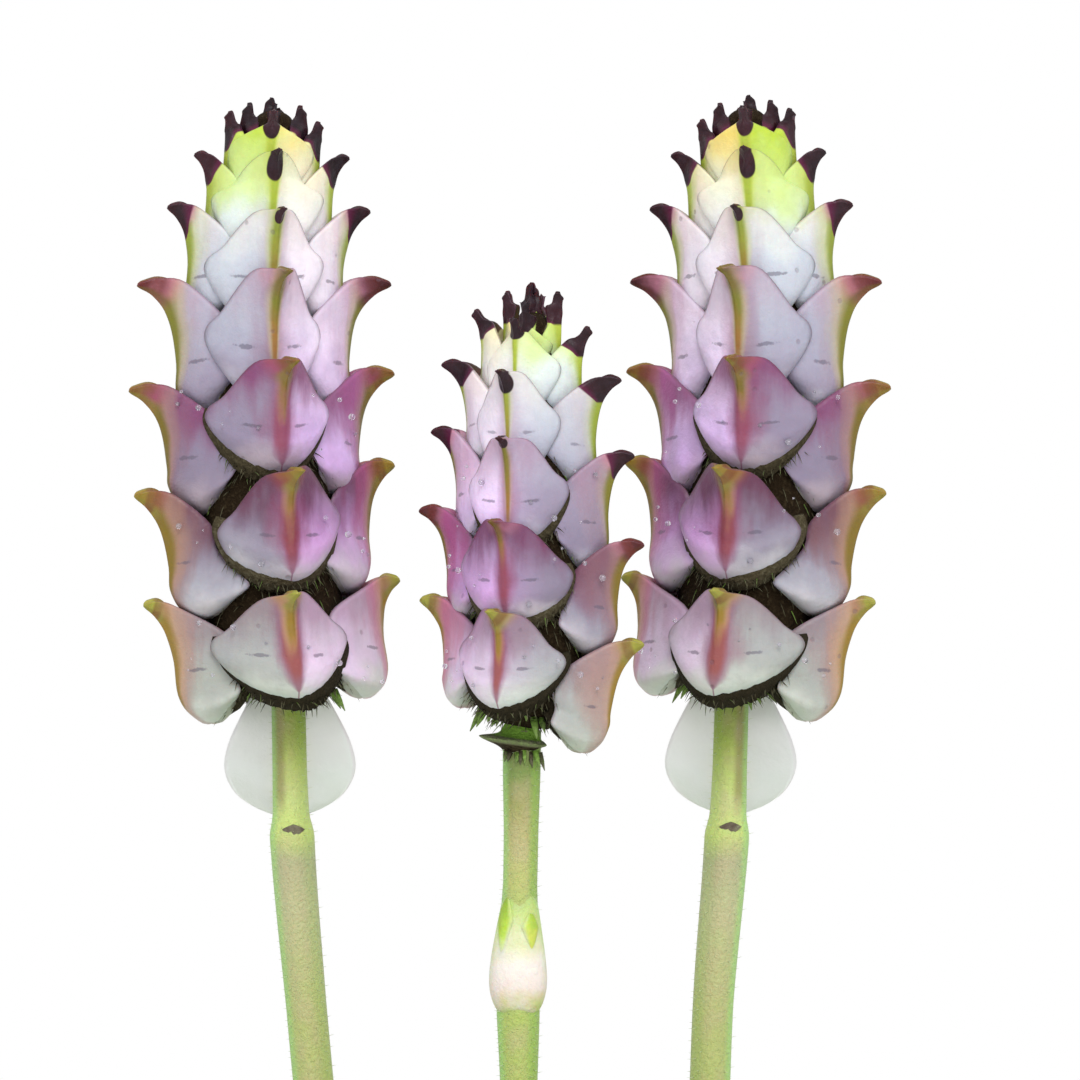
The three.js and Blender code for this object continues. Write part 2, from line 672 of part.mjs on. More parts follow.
const [stemX, stemY, stemFoot, stemRadius] = STEM.main[0];
const roots = [{ x: stemX, y: stemY, foot: stemFoot, radius: stemRadius }];
[UPRIGHT_SHOOT, LOW_SHOOT].forEach((shoot) => {
  for (let index = 0; index < shoot.count; index += 1) {
    const [out, up, radius] = shoot.stalk[0];
    const point = polar(out, shoot.firstAngle + (360 * index) / shoot.count, up);
    roots.push({ x: point.x, y: point.y, foot: up, radius });
  }
});
addNode('soil', makeSoil(roots), MATERIALS.soil);

const leftSpike = fuse([...makeSpike(TALL_SPIKE), hangingBract()]);
const middleSpike = fuse(makeSpike(SHORT_SPIKE));
const rightSpike = fuse([...makeSpike(mirrored(TALL_SPIKE)), hangingBract()]);
addNode('flowering_stem', makeFloweringStem(), MATERIALS.stem);
addNode('left_spike', leftSpike, MATERIALS.spike, placeOf('left'));
addNode('middle_spike', middleSpike, MATERIALS.spike, placeOf('middle'));
addNode('right_spike', rightSpike, MATERIALS.spike, placeOf('right'));

for (let index = 0; index < UPRIGHT_SHOOT.count; index += 1) {
  addNode(`upright_shoot_${index + 1}`, makeUprightShoot(index), MATERIALS.leaf);
}
for (let index = 0; index < LOW_SHOOT.count; index += 1) {
  addNode(`low_shoot_${index + 1}`, makeLowShoot(index), MATERIALS.leaf);
}

export default group;
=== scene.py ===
from math import cos, pi, radians, tan

import bpy
import numpy as np
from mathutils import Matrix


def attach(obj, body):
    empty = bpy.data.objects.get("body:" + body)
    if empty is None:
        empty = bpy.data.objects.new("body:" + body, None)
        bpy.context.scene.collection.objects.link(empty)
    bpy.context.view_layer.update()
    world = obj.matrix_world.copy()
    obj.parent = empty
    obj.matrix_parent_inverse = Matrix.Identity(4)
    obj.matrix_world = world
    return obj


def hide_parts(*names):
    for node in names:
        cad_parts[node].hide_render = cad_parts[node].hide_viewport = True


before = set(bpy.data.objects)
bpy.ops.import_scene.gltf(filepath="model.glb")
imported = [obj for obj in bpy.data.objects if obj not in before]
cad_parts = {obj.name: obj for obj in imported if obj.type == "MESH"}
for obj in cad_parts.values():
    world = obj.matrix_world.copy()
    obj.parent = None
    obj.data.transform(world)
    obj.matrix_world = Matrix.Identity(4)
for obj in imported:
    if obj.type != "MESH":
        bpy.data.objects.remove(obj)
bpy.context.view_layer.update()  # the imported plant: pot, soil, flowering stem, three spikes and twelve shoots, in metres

mm = 0.001  # sizes below are in millimetres, and makePiece turns them into metres
goldenTurn = 2.39996  # radians from each hair or crumb to the next, so that they never line up
print("frame loaded:", len(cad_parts), "solids")


# Curves and skins

def spread(count):  # even but unrepeating value between -1 and 1, the same for the same count
    return 2 * (np.asarray(count) * 0.6180339887 % 1) - 1


def lot(count):  # the same, between 0 and 1
    return (spread(count) + 1) / 2


def ease(value, low, high):  # 0 at low, 1 at high, either way round, and 3t^2 - 2t^3 between them
    t = np.clip((value - low) / (high - low), 0, 1)
    return t * t * (3 - 2 * t)


def turns(count):  # angles once round
    return np.arange(count) * 2 * pi / count


def polar(out, angle, up):  # points at a distance and an angle round the upright axis, and a height
    return np.stack(np.broadcast_arrays(out * np.cos(angle), out * np.sin(angle), up), -1)


def unit(vectors):
    return vectors / np.linalg.norm(vectors, axis=-1, keepdims=True)


def ball(rows, sides, cut):  # rings of a unit sphere, cut off near its poles
    down = np.linspace(cut, pi - cut, rows)[:, None]
    return polar(np.sin(down), turns(sides), np.cos(down))


def nearRows(rows, place):
    # The two rows before and the two after each place in a list of rows, and its share of the way between
    # the middle two
    rows = np.asarray(rows, float)
    ends = np.vstack([2 * rows[0] - rows[1], rows, 2 * rows[-1] - rows[-2]])
    span = np.minimum(place.astype(int), len(rows) - 2)
    return *(ends[span + k] for k in range(4)), (place - span)[:, None]


def throughPoints(points, rows):
    # A cubic from each point to the next. Its end slopes weigh the points around by the root of their gaps.
    a, b, c, d, w = nearRows(points, np.linspace(0, 1, rows) * (len(points) - 1))
    ab, bc, cd = (np.sqrt(np.linalg.norm(q - p, axis=1))[:, None] for p, q in ((a, b), (b, c), (c, d)))
    slopeB = ((b - a) / ab - (c - a) / (ab + bc) + (c - b) / bc) * bc
    slopeC = ((c - b) / bc - (d - b) / (bc + cd) + (d - c) / cd) * bc
    square, cube = 3 * (c - b) - 2 * slopeB - slopeC, 2 * (b - c) + slopeB + slopeC
    return b + slopeB * w + square * w**2 + cube * w**3


def smoothTable(table, perSpan):
    # Rows between the given rows, on a cubic whose slope at a row is half the difference of its neighbours
    a, b, c, d, w = nearRows(table, np.arange((len(table) - 1) * perSpan + 1) / perSpan)
    return b + (c - a) / 2 * w + (a - 2.5 * b + 2 * c - d / 2) * w**2 + (1.5 * (b - c) + (d - a) / 2) * w**3


def skin(points, look=0, **values):
    # Closed rings carried along a path, (rows, ring, 3) or many alike, (count, rows, ring, 3).
    # Each ring joins the next with quads, and both ends close on the middle of their ring.
    points = points[None] if points.ndim == 3 else points
    count, rows, ring, _ = points.shape
    each = rows * ring + 2
    verts = np.concatenate([points.reshape(count, -1, 3), points[:, :1].mean(2), points[:, -1:].mean(2)], 1)
    k = np.arange(ring)
    after = (k + 1) % ring
    row = np.arange(rows - 1)[:, None] * ring
    quads = np.stack([row + k, row + after, row + ring + after, row + ring + k], -1).reshape(-1, 4)
    last = (rows - 1) * ring
    caps = np.vstack([np.stack([k * 0 + each - 2, after, k], 1),
                      np.stack([k * 0 + each - 1, last + k, last + after], 1)])
    corners = verts[:, np.vstack([quads[:, :3], quads[:, [0, 2, 3]], caps])]
    volume = np.einsum("ntk,ntk->n", corners[:, :, 0], np.cross(corners[:, :, 1], corners[:, :, 2]))
    start = (np.arange(count) * each)[:, None, None]
    inward = (volume < 0)[:, None, None]
    quads, caps = (np.where(inward, faces[None, :, ::-1], faces[None]) + start for faces in (quads, caps))
    fields = {}
    for name, value in values.items():
        value = np.broadcast_to(np.asarray(value, float), (count, rows, ring))
        value = np.concatenate([value.reshape(count, -1), value[:, :1, 0], value[:, -1:, 0]], 1)
        fields[name] = value.ravel()
    return {"points": verts.reshape(-1, 3), "quads": quads.reshape(-1, 4), "caps": caps.reshape(-1, 3),
            "fields": fields, "look": look}


def tube(path, radius, sides, across=(1, 0, 0), squareness=0.0):
    # Rings square to a path: centre + radius (cos a, sin a) on two directions across it, a little squarer
    # by radius (1 + squareness cos 4a). across is one direction that the first of the two keeps to.
    along = unit(np.gradient(path, axis=0))
    first = unit(across - along * (along @ across)[:, None])
    a = turns(sides)
    size = np.reshape(radius, (-1, 1)) * (1 + squareness * np.cos(4 * a))
    return (path[:, None] + (size * np.cos(a))[..., None] * first[:, None]
            + (size * np.sin(a))[..., None] * np.cross(along, first)[:, None])


def cones(roots, ways, lengths, radius, sides=3, bend=0.0, look=0, **values):
    # Thin cones, each a root ring, a middle ring and a tip ring on a path bent down by bend times its length.
    # Their rings are laid out from a slanting direction that no cone follows.
    ways = unit(ways)
    side = unit(np.cross(ways, [0.31, 0.23, 0.92]))
    other = np.cross(ways, side)
    share, size, a = np.array([0.0, 0.5, 1.0]), np.array([1.0, 0.75, 0.12]), turns(sides)
    lengths = np.broadcast_to(lengths, len(roots))[:, None]
    path = roots[:, None] + ways[:, None] * (lengths * share)[..., None]
    path[..., 2] -= bend * lengths * share**2
    ring = np.cos(a)[:, None] * side[:, None, None] + np.sin(a)[:, None] * other[:, None, None]
    values = {name: np.reshape(value, (-1, 1, 1)) for name, value in values.items()}
    points = path[:, :, None] + radius * size[:, None, None] * ring
    return skin(points, look, tipward=share[:, None], **values)


def makePiece(name, skins, looks, node="", creaseAngle=0, place=(0, 0, 0)):
    # One mesh of all skins, smooth, with a number on each point for every field that the material reads
    mesh = bpy.data.meshes.new(name)
    starts = np.cumsum([0] + [len(one["points"]) for one in skins])
    verts = (np.concatenate([one["points"] for one in skins]) + place) * mm
    faces = [one[kind] + start for one, start in zip(skins, starts) for kind in ("quads", "caps")]
    corners = np.concatenate([face.ravel() for face in faces])
    sizes = np.concatenate([np.full(len(face), face.shape[1]) for face in faces])
    lookOf = np.concatenate([np.full(len(one["quads"]) + len(one["caps"]), one["look"]) for one in skins])
    for part, size in ((mesh.vertices, len(verts)), (mesh.loops, len(corners)), (mesh.polygons, len(sizes))):
        part.add(size)
    mesh.vertices.foreach_set("co", verts.ravel())
    mesh.loops.foreach_set("vertex_index", corners.astype(np.int32))
    mesh.polygons.foreach_set("loop_start", (np.cumsum(sizes) - sizes).astype(np.int32))
    mesh.polygons.foreach_set("material_index", lookOf.astype(np.int32))
    mesh.update(calc_edges=True)
    mesh.validate()
    mesh.shade_smooth()
    if creaseAngle:
        mesh.set_sharp_from_angle(angle=radians(creaseAngle))
    for key in sorted({key for one in skins for key in one["fields"]}):
        numbers = np.concatenate([one["fields"].get(key, np.zeros(len(one["points"]))) for one in skins])
        mesh.attributes.new(key, "FLOAT", "POINT").data.foreach_set("value", numbers.astype(np.float32))
    for look in looks:
        mesh.materials.append(look)
    piece = bpy.data.objects.new(name, mesh)
    bpy.context.scene.collection.objects.link(piece)
    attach(piece, "root")
    if node:
        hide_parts(node)
    print(name, "made,", len(mesh.polygons), "faces")
    return piece


# Node tools

class Value:  # a node's output. Each sign between values, or a value and a number, makes one maths node.
    def __init__(self, socket):
        self.socket, self.tree = socket, socket.id_data

    def beside(self, name):  # another output of the same node
        return Value(self.socket.node.outputs[name])

    def __add__(self, other):
        return maths("ADD", self, other)

    def __sub__(self, other):
        return maths("SUBTRACT", self, other)

    def __rsub__(self, other):
        return maths("SUBTRACT", other, self)

    def __mul__(self, other):
        return maths("MULTIPLY", self, other)

    def __truediv__(self, other):
        return maths("DIVIDE", self, other)

    def __pow__(self, other):
        return maths("POWER", self, other)

    def __abs__(self):
        return maths("ABSOLUTE", self)


def connect(value, socket):
    if isinstance(value, Value):
        value.tree.links.new(value.socket, socket)
    else:
        socket.default_value = value


def put(tree, kind, inputs=None, output=0, **settings):
    made = tree.nodes.new("ShaderNode" + kind)
    for key, value in settings.items():
        setattr(made, key, value)
    for key, value in (inputs or {}).items():
        connect(value, made.inputs[key])
    return Value(made.outputs[output])


def maths(operation, first, second=0.0):
    tree = (first if isinstance(first, Value) else second).tree
    return put(tree, "Math", {0: first, 1: second}, operation=operation)


def line(value, low, high, start=0.0, end=1.0, **settings):  # from start at low to end at high, level outside
    inputs = {"Value": value, "From Min": low, "From Max": high, "To Min": start, "To Max": end}
    return put(value.tree, "MapRange", inputs, **settings)


def band(value, low, high):  # smooth rise from 0 at low to 1 at high, or a fall where low is the larger
    rises = low < high
    low, high = sorted((low, high))
    return line(value, low, high, 1.0 - rises, float(rises), interpolation_type="SMOOTHSTEP")


def colour(code):  # "#rrggbb" as linear light
    parts = np.array([int(code[k:k + 2], 16) for k in (1, 3, 5)]) / 255
    return (*np.where(parts > 0.04045, ((parts + 0.055) / 1.055) ** 2.4, parts / 12.92).tolist(), 1.0)


def mixed(share, first, second):
    colours = [colour(one) if isinstance(one, str) else one for one in (first, second)]
    inputs = {0: share, 6: colours[0], 7: colours[1]}
    return put(share.tree, "Mix", inputs, 2, data_type="RGBA", clamp_factor=True)


def painted(base, *layers):  # each layer is a share and the colour that it lays over those before
    for share, shade in layers:
        base = mixed(share, base, shade)
    return base


def ramp(value, stops):  # "14 #5e2c44, 28 0.9" gives a colour or a grey at places in hundredths
    made = put(value.tree, "ValToRGB", {"Fac": value})
    marks = made.socket.node.color_ramp.elements
    stops = [stop.split() for stop in stops.split(", ")]
    while len(marks) < len(stops):
        marks.new(0.5)
    for mark, (place, shade) in zip(marks, stops):
        mark.position = float(place) / 100
        mark.color = colour(shade) if shade[0] == "#" else (*[float(shade)] * 3, 1.0)
    return made


def fields(tree, names):  # the numbers that a mesh holds under these names
    return [put(tree, "Attribute", None, "Fac", attribute_name=name) for name in names.split()]


def objectPlace(tree):
    return put(tree, "TexCoord", None, "Object")


def newLook(name, **constants):
    look = bpy.data.materials.new(name)
    look.use_nodes = True
    for key, value in constants.items():
        look.node_tree.nodes["Principled BSDF"].inputs[key.replace("_", " ")].default_value = value
    return look, look.node_tree


def finishLook(look, base, height, distance, roughness=None):
    shader = look.node_tree.nodes["Principled BSDF"].inputs
    connect(base, shader["Base Color"])
    bump = {"Height": height, "Distance": distance, "Strength": 1.0}
    connect(put(look.node_tree, "Bump", bump), shader["Normal"])
    if roughness:
        connect(roughness, shader["Roughness"])
    return look


def makeMottle():
    # Cloudy tone from a wide noise and a fine grain from one six times finer
    tree = bpy.data.node_groups.new("softMottle", "ShaderNodeTree")
    for name, way, kind in (
            ("Place", "INPUT", "Vector"), ("Scale", "INPUT", "Float"),
            ("Cloud", "OUTPUT", "Float"), ("Grain", "OUTPUT", "Float")):
        tree.interface.new_socket(name=name, in_out=way, socket_type="NodeSocket" + kind)
    given = tree.nodes.new("NodeGroupInput").outputs
    place, scale = Value(given["Place"]), Value(given["Scale"])
    cloud = put(tree, "TexNoise", {"Vector": place, "Scale": scale, "Detail": 4.0})
    grain = put(tree, "TexNoise", {"Vector": place, "Scale": scale * 6, "Detail": 3.0, "Roughness": 0.7})
    out = tree.nodes.new("NodeGroupOutput").inputs
    connect(band(cloud, 0.32, 0.68), out["Cloud"])
    connect(band(grain, 0.25, 0.75), out["Grain"])
    return tree


mottleGroup = makeMottle()


def mottle(tree, scale, place=None):
    inputs = {"Place": place or objectPlace(tree), "Scale": scale}
    made = put(tree, "Group", inputs, "Cloud", node_tree=mottleGroup)
    return made, made.beside("Grain")


def dots(tree, scale, share):  # round spots near the points of a random cell pattern, in a share of the cells
    near = put(tree, "TexVoronoi", {"Vector": objectPlace(tree), "Scale": scale}, "Distance")
    pick = put(tree, "SeparateColor", {"Color": near.beside("Color")})
    return band(near, 0.24, 0.12) * maths("LESS_THAN", pick, share)


def plainLook(name, scale, first, second, depth, **constants):  # two mottled shades and a grain of some depth
    look, tree = newLook(name, **constants)
    cloud, grain = mottle(tree, scale)
    return finishLook(look, mixed(cloud, first, second), grain, depth)


# Spikes

tallSpike = {
    # warm is the bearing of the side whose bracts are rosier and painted lighter: partly their own colour and
    # partly painted light on the lit side
    "yaw": 13, "skew": [0.16, 0.05] + [0.16] * 7, "lean": 0.055, "frontShare": 0.92, "warm": 10,
    "cant": [0.4, 0.6, 0.1] + [0] * 6, "twist": [0, 3, 0, 0, -3, -7, -9, -9, -9], "breadth": [1] * 9,
    "markShare": 1.0, "flame": 1.0, "hornLift": [0, 0, 0, 0.12] + [0] * 5, "slimmed": -0.35, "fingers": 1.4,
    "coreTop": 47.2,
    # single side bracts: how much broader in their lower and upper rows, and how many mm longer
    "mend": {(0, "right"): [1.3, 1.2, 0.0], (1, "right"): [1.3, 1.2, 0.5], (2, "right"): [1.2, 1.1, 0.3],
             (1, "left"): [1.2, 0.85, 0.0], (2, "left"): [1.12, 1.1, 0.2]},
    "axis": [[0, 0], [-1.3, 10], [-1.9, 20], [-2, 31], [-1.4, 41], [-1, 48]],
    # heights of the horn tips left, right, front and back; reach, keel radius, bract height, horn rise
    "tiers": [
        [9.2, 11.1, 10.2, 9.8, 10.1, 8.2, 9.4, 45],
        [17.6, 20.0, 19.5, 18.6, 10.4, 7.9, 9.8, 42],
        [25.7, 27.1, 27.8, 27.0, 10.4, 7.4, 9.8, 32],
        [33.8, 34.0, 34.6, 34.4, 9.9, 6.6, 11.4, 26],
        [39.8, 39.6, 39.4, 39.4, 7.9, 5.9, 10.4, 42],
        [43.9, 43.7, 44.0, 43.6, 6.0, 4.7, 9.4, 46],
        [47.0, 46.2, 46.9, 46.4, 3.9, 3.5, 7.8, 62],
        [47.5, 47.3, 46.9, 47.3, 2.5, 2.4, 5.6, 76],
        [48.1, 47.3, 47.4, 47.7, 0.75, 0.8, 4.2, 80],
    ],
}
shortSpike = {
    "yaw": -18, "skew": [0] * 7, "lean": -0.03, "frontShare": 0.94, "warm": 190,
    "cant": [-0.4, -0.3] + [0] * 5, "twist": [0] * 7, "breadth": [1, 1.14, 1.06, 1, 1, 1, 1],
    "markShare": 0.72, "flame": 0.55, "hornLift": [0, 0.3, 0.1] + [0] * 4, "slimmed": 1, "fingers": 1,
    "coreTop": 33.0, "mend": {},
    "axis": [[0, 0], [0.8, 9], [0.7, 18], [0.7, 27], [0.8, 35]],
    "tiers": [
        [11.3, 8.0, 10.6, 9.8, 9.0, 6.7, 8.4, 42],
        [18.1, 15.5, 17.3, 16.8, 8.9, 6.6, 8.6, 32],
        [24.1, 22.2, 23.5, 23.2, 8.1, 5.9, 9.2, 32],
        [29.2, 27.9, 28.5, 28.4, 7.2, 5.0, 9.0, 34],
        [33.1, 31.7, 32.3, 32.2, 4.9, 3.8, 8.2, 50],
        [34.4, 34.3, 33.6, 34.2, 2.5, 2.1, 6.0, 66],
        [35.2, 34.9, 35.1, 35.1, 0.5, 0.55, 4.6, 82],
    ],
}
spikePlaces = {"left": [-18.0, 2, 221.9], "middle": [0.1, -7, 220.2], "right": [16.3, 2, 222.1]}
bractShape = {
    # facing, column of its tip height, kind of bract, and which way it looks: 1 to the front, -1 to the back
    "sides": {"right": [0, 1, "side", 0], "left": [180, 0, "side", 0], "front": [270, 2, "front", 1],
              "back": [90, 3, "front", -1]},
    # half-widths in degrees at the root, foot, low, belly, waist and arch rows, and how they change by tier
    "front": {"wide": [26, 32, 40, 49, 47, 34], "tuck": [0.14, 0.14, 0.14, 0.14, 0.1, 0.05, 0.02, 0.02, 0.02],
              "wider": [1, 1, 1, 1.04, 1.16, 1.5, 1.7, 1.5, 1.4], "pinch": {1: [0.92, 0.87, 0.92]}, "foot": 1,
              "marginUp": [0.31, 0.49, 0.6], "archUp": 0.71, "neckWide": 1.9, "neckDown": 0.2,
              "beakDown": 0.35, "sink": [0, 0, 0, 0, 0.06, 0.24, 0.1, 0, 0]},
    "side": {"wide": [24, 33, 49, 57, 54, 41], "tuck": [0.3, 0.3, 0.3, 0.3, 0.3, 0.3, 0.2, 0.1, 0.1],
             "wider": [1, 1, 1, 1, 1, 1, 1.1, 1.2, 1.2], "foot": 0.8,
             "pinch": {0: [0.75, 0.87, 0.9], 1: [0.74, 0.6, 0.66], 2: [0.95, 0.97, 0.88]},
             "marginUp": [0.28, 0.42, 0.57], "archUp": 0.76, "neckWide": 1.4, "neckDown": 0.0,
             "beakDown": 0.0, "sink": [0] * 9},
    # row by row from the root to the tip: how far the inner face closes the horn, wall and ridge of the keel
    "closing": [0, 0, 0, 0, 0, 0.1, 0.7, 1, 1, 1], "wall": [0.4, 0.5, 0.5, 0.5, 0.5, 0.5, 0.5, 0.3, 0.1, 0.1],
    "ridge": [0, 0, 0.1, 0.5, 0.9, 1, 0.6, 0.2, 0, 0], "ridgeHeight": 0.3, "widest": 1.4,
    "beakWide": 0.68, "tipWide": 0.42, "stout": 0.5, "perSpan": 5, "archRow": 5, "tipRow": 8,
    "outerColumns": 25, "innerColumns": 9, "uneven": {"width": 0.03, "facing": 2.5},
    # dark horns by tier: length from the tip and how far off the keel; and the dark lens on a front keel
    "darkTip": {4: [2.7, 0.85], 5: [2.6, 2.0], 6: [3.1, 2.4], 7: [3.3, 1.9], 8: [3.7, 1.6]},
    "darkLens": {4: [1.3, 0.36], 5: [2.5, 0.6], 6: [2.1, 0.64]},
}


def mirrored(spike):
    turned = {key: -spike[key] for key in ("yaw", "lean")}
    turned.update({key: [-one for one in spike[key]] for key in ("cant", "twist", "skew")})
    swap = {"left": "right", "right": "left"}
    turned["mend"] = {(number, swap[side]): change for (number, side), change in spike["mend"].items()}
    turned["tiers"] = [[right, left, *others] for left, right, *others in spike["tiers"]]
    turned["axis"] = [[-x, up] for x, up in spike["axis"]]
    return {**spike, **turned, "warm": 180 - spike["warm"]}


def crownPlace(spike, number):  # the tier's number counted from the top, which is 8 on a short spike too
    return number + len(tallSpike["tiers"]) - len(spike["tiers"])


def bowed(spike, points):  # shifted along with the spike's bowed middle line
    aside, up = np.array(spike["axis"]).T
    points[..., 0] += np.interp(points[..., 2], up, aside)
    return points


def bractRails(spike, number, side):
    # The rows of a bract, from its root down and round its belly, up the keel and out along the horn to the
    # tip. The horn's keel is a quadratic bend: straight up, then turned out to the tip. Its top stays level
    # with the tip. Grown is the horn's size, run how far it reaches past the keel.
    shape = bractShape
    _, column, sort, fore = shape["sides"][side]
    kind, tier, place = shape[sort], spike["tiers"][number], crownPlace(spike, number)
    tip, (reach, keel, drop, rise) = tier[column], tier[4:]
    lowBroad, highBroad, longer = spike["mend"].get((number, side), [1, 1, 0])
    height = drop * (spike["frontShare"] if fore else 1) + longer
    low = tip - height
    grown = 0.5 + 0.065 * keel
    keelFlat = 0.985 * keel
    run = max(reach - keelFlat, 0.3)
    peak = np.array([reach, tip - 0.42 * grown])
    corner = np.array([keelFlat, max(tip - 0.1 - 0.85 * run * tan(radians(rise)), low + 0.55 * height)])
    waist = np.array([keelFlat, max(corner[1] - 1.4 * max(run, 0.9), low + 0.36 * height)])
    arch, neck, beak, end = (
        (1 - u) ** 2 * waist + 2 * u * (1 - u) * corner + u * u * peak for u in (0.3, 0.55, 0.8, 0.97))
    # half-widths of the first six rows
    foot = 1 - (1 - kind["foot"]) * ease(number, 1.5, 3)
    pinch = np.array([foot] * 3 + kind["pinch"].get(number, [1, 1, 1]))
    slimmed = spike["slimmed"] * ease(place, 6, 7) * np.array([0, 0, 0, 0.05, 0.25, 0.45])
    broad = np.array([1, lowBroad, lowBroad, (lowBroad + highBroad) / 2, highBroad, highBroad])
    broad = broad * (1 - slimmed)
    if side == "front":
        broad = broad * spike["breadth"][number]
    uneven = 1 + shape["uneven"]["width"] * spread(number * 4 + len(side))
    half = np.radians(kind["wide"]) * uneven * kind["wider"][number] * pinch * broad
    # and of the horn's four, which are broader and blunter in the crown
    crown, sharp = ease(place, 5.5, 7), 1 - ease(place, 5, 6)
    stout = shape["stout"] * (1 - sharp)
    neckOut = max(reach - 0.55 * grown - 0.85 * run - stout, 0.25 * keel)
    tipOut = max(reach, 2 - crown)
    blunt = shape["tipWide"] * (1 + 0.9 * crown) * grown / tipOut
    horn = [kind["neckWide"] * (1 - 0.4 * ease(place, 4, 6)) * grown / neckOut,
            shape["beakWide"] * (1 + 0.2 * crown) * grown / tipOut, blunt, (0.4 + 0.4 * crown) * blunt]
    fingers = 1 + (spike["fingers"] - 1) * crown
    half = [*np.minimum(half, shape["widest"]), *(fingers * wide for wide in horn)]
    tuck = 1 - kind["tuck"][number]
    beakOut = reach - (0.4 + 0.37 * run) * min(grown, 1) - stout
    lowUp, bellyUp, waistUp = (low + share * height * (1 - 0.16 * crown) for share in kind["marginUp"])
    rails = [  # keel out, keel up, margin out, margin up
        [0.42 * keel, low + 0.30 * height, 0.40 * keel, low + 0.32 * height],
        [0.72 * keel * foot, low + 0.01 * height, 0.64 * keel * foot, low + 0.19 * height],
        [0.92 * keel * foot**0.5, low + 0.08 * height, 0.80 * keel * foot, lowUp],
        [keel, low + 0.24 * height, tuck * keel, bellyUp],
        [*waist, tuck * keel, waistUp],
        [*arch, (tuck + 0.01 - kind["sink"][number]) * keel, low + (kind["archUp"] - 0.14 * crown) * height],
        [*neck, neckOut, tip - (0.9 - 0.27 * run + kind["neckDown"]) * grown - 0.5 * (1 - sharp)],
        [*beak, beakOut, tip - (0.25 - 0.17 * run + kind["beakDown"]) * grown - (1.2 - 0.1 * sharp) * stout],
        [*end, reach - 0.3 - 0.7 * stout, tip - 0.04 - (0.5 * kind["beakDown"] + 0.6 * stout) * sharp],
        [reach + 0.05 - 0.35 * (1 - sharp), tip - 0.3 * grown * sharp,
         reach - 0.3 * (1 - sharp), tip - 0.16 * grown * sharp],
    ]
    table = np.column_stack([rails, half, shape["closing"], shape["wall"], shape["ridge"]])
    return smoothTable(table, shape["perSpan"]), low, height


def bractSkin(spike, number, side):
    # Each row runs from the keel rail to the margin rails: out = keel + (margin - keel) |v|^1.2 and
    # up = keel + (margin - keel) |v|^2, turned by v times the half-width. The keel stands out by a narrow
    # bell. The inner face is the outer one pulled in by the wall, and in the horn it closes on its margins.
    shape = bractShape
    rows, low, height = bractRails(spike, number, side)
    keelOut, keelUp, marginOut, marginUp, half, closing, wall, ridge = rows.T[..., None]
    grid = np.linspace(-1, 1, shape["outerColumns"])
    outer = np.sign(grid) * np.abs(grid) ** 1.35
    inner = np.linspace(1, -1, shape["innerColumns"])
    across = np.concatenate([outer, inner])
    bearing, _, _, fore = shape["sides"][side]
    wobble = shape["uneven"]["facing"] * spread(number * 7 + len(side))
    facing = radians(bearing + spike["yaw"] + spike["twist"][number] + wobble)
    archRow, tipRow = (shape[name] * shape["perSpan"] for name in ("archRow", "tipRow"))
    hornShare = np.clip((np.arange(len(rows)) - archRow) / (tipRow - archRow), 0, 1)[:, None]
    place = crownPlace(spike, number)
    lean = spike["lean"] * (1 - 0.7 * ease(place, 3, 5)) * hornShare**2 * fore
    skew = spike["skew"][number] if fore else 0
    cant = spike["cant"][number] if side == "front" else 0

    def surface(v):
        s = np.abs(v)
        bell = np.exp(-((v / 0.11) ** 2))
        out = keelOut + (marginOut - keelOut) * s**1.2 + shape["ridgeHeight"] * ridge * bell
        up = keelUp + (marginUp - keelUp) * s ** (2 - 0.7 * hornShare) + cant * v * s * (1 - hornShare)
        return polar(out, facing + v * half * (1 - skew * np.sign(v)) + lean, up)

    outside, inside = surface(outer), surface(inner)
    thin = (1 - 0.8 * inner**2) * wall * (1 - closing)
    inside[..., :2] *= 1 - (thin / np.linalg.norm(inside[..., :2], axis=-1))[..., None]
    rim = (surface(np.array([-1.0])) + surface(np.array([1.0]))) / 2
    share = (closing * (1 - inner**2 * 0.6))[..., None]
    inside = inside * (1 - share) + rim * share
    inside[..., 2] += 0.55 * hornShare * closing * half * marginOut * (1 - inner**2)
    points = np.concatenate([outside, inside], 1)
    turn = np.arctan2(points[..., 1], points[..., 0])
    points = bowed(spike, points)
    # the face of a front or back bract on the warm side is rosier right from its keel. The warm side is also
    # the lit side, so this mask is partly the bract's own colour and partly painted light
    warm = radians(spike["warm"])
    keelStep = np.tanh(across / 0.08) * fore * np.sign(cos(warm))
    isLens = bool(fore) and place < 7
    length, wide = shape["darkLens" if isLens else "darkTip"].get(place, [0, 1])
    lifted = side == ("right" if cos(warm) > 0 else "left") or spike["markShare"] < 1
    withinFace = np.concatenate([outer * 0, inner * 0 + 1])
    tierShare = min(number / (len(spike["tiers"]) - 2), 1)
    return skin(
        points,
        below=low + height - points[..., 2],
        markLong=length * spike["markShare"] * (1 + 0.8 * (place > 6) * withinFace),
        markWide=wide * (1 + 0.8 * (place > 6) * (not fore)),
        lens=isLens,
        plain=np.interp(place, [2, 3, 4], [0, 0.55, 1]) if fore else 0,
        flameWide=spike["flame"],
        hornTier=tierShare + spike["hornLift"][number] * lifted,
        aside=np.abs(across) * half * (keelOut + marginOut) / 2,
        tier=tierShare,
        height=points[..., 2] / spike["tiers"][-1][0],
        rise=np.clip((points[..., 2] - low) / height, 0, 1),
        across=across,
        horn=hornShare,
        blush=ease(np.cos(turn - warm) + 0.4 * keelStep, -0.5, 0.75),
        sideways=not fore,
        inside=withinFace,
        seed=lot(number * 5 + len(side)),
    )


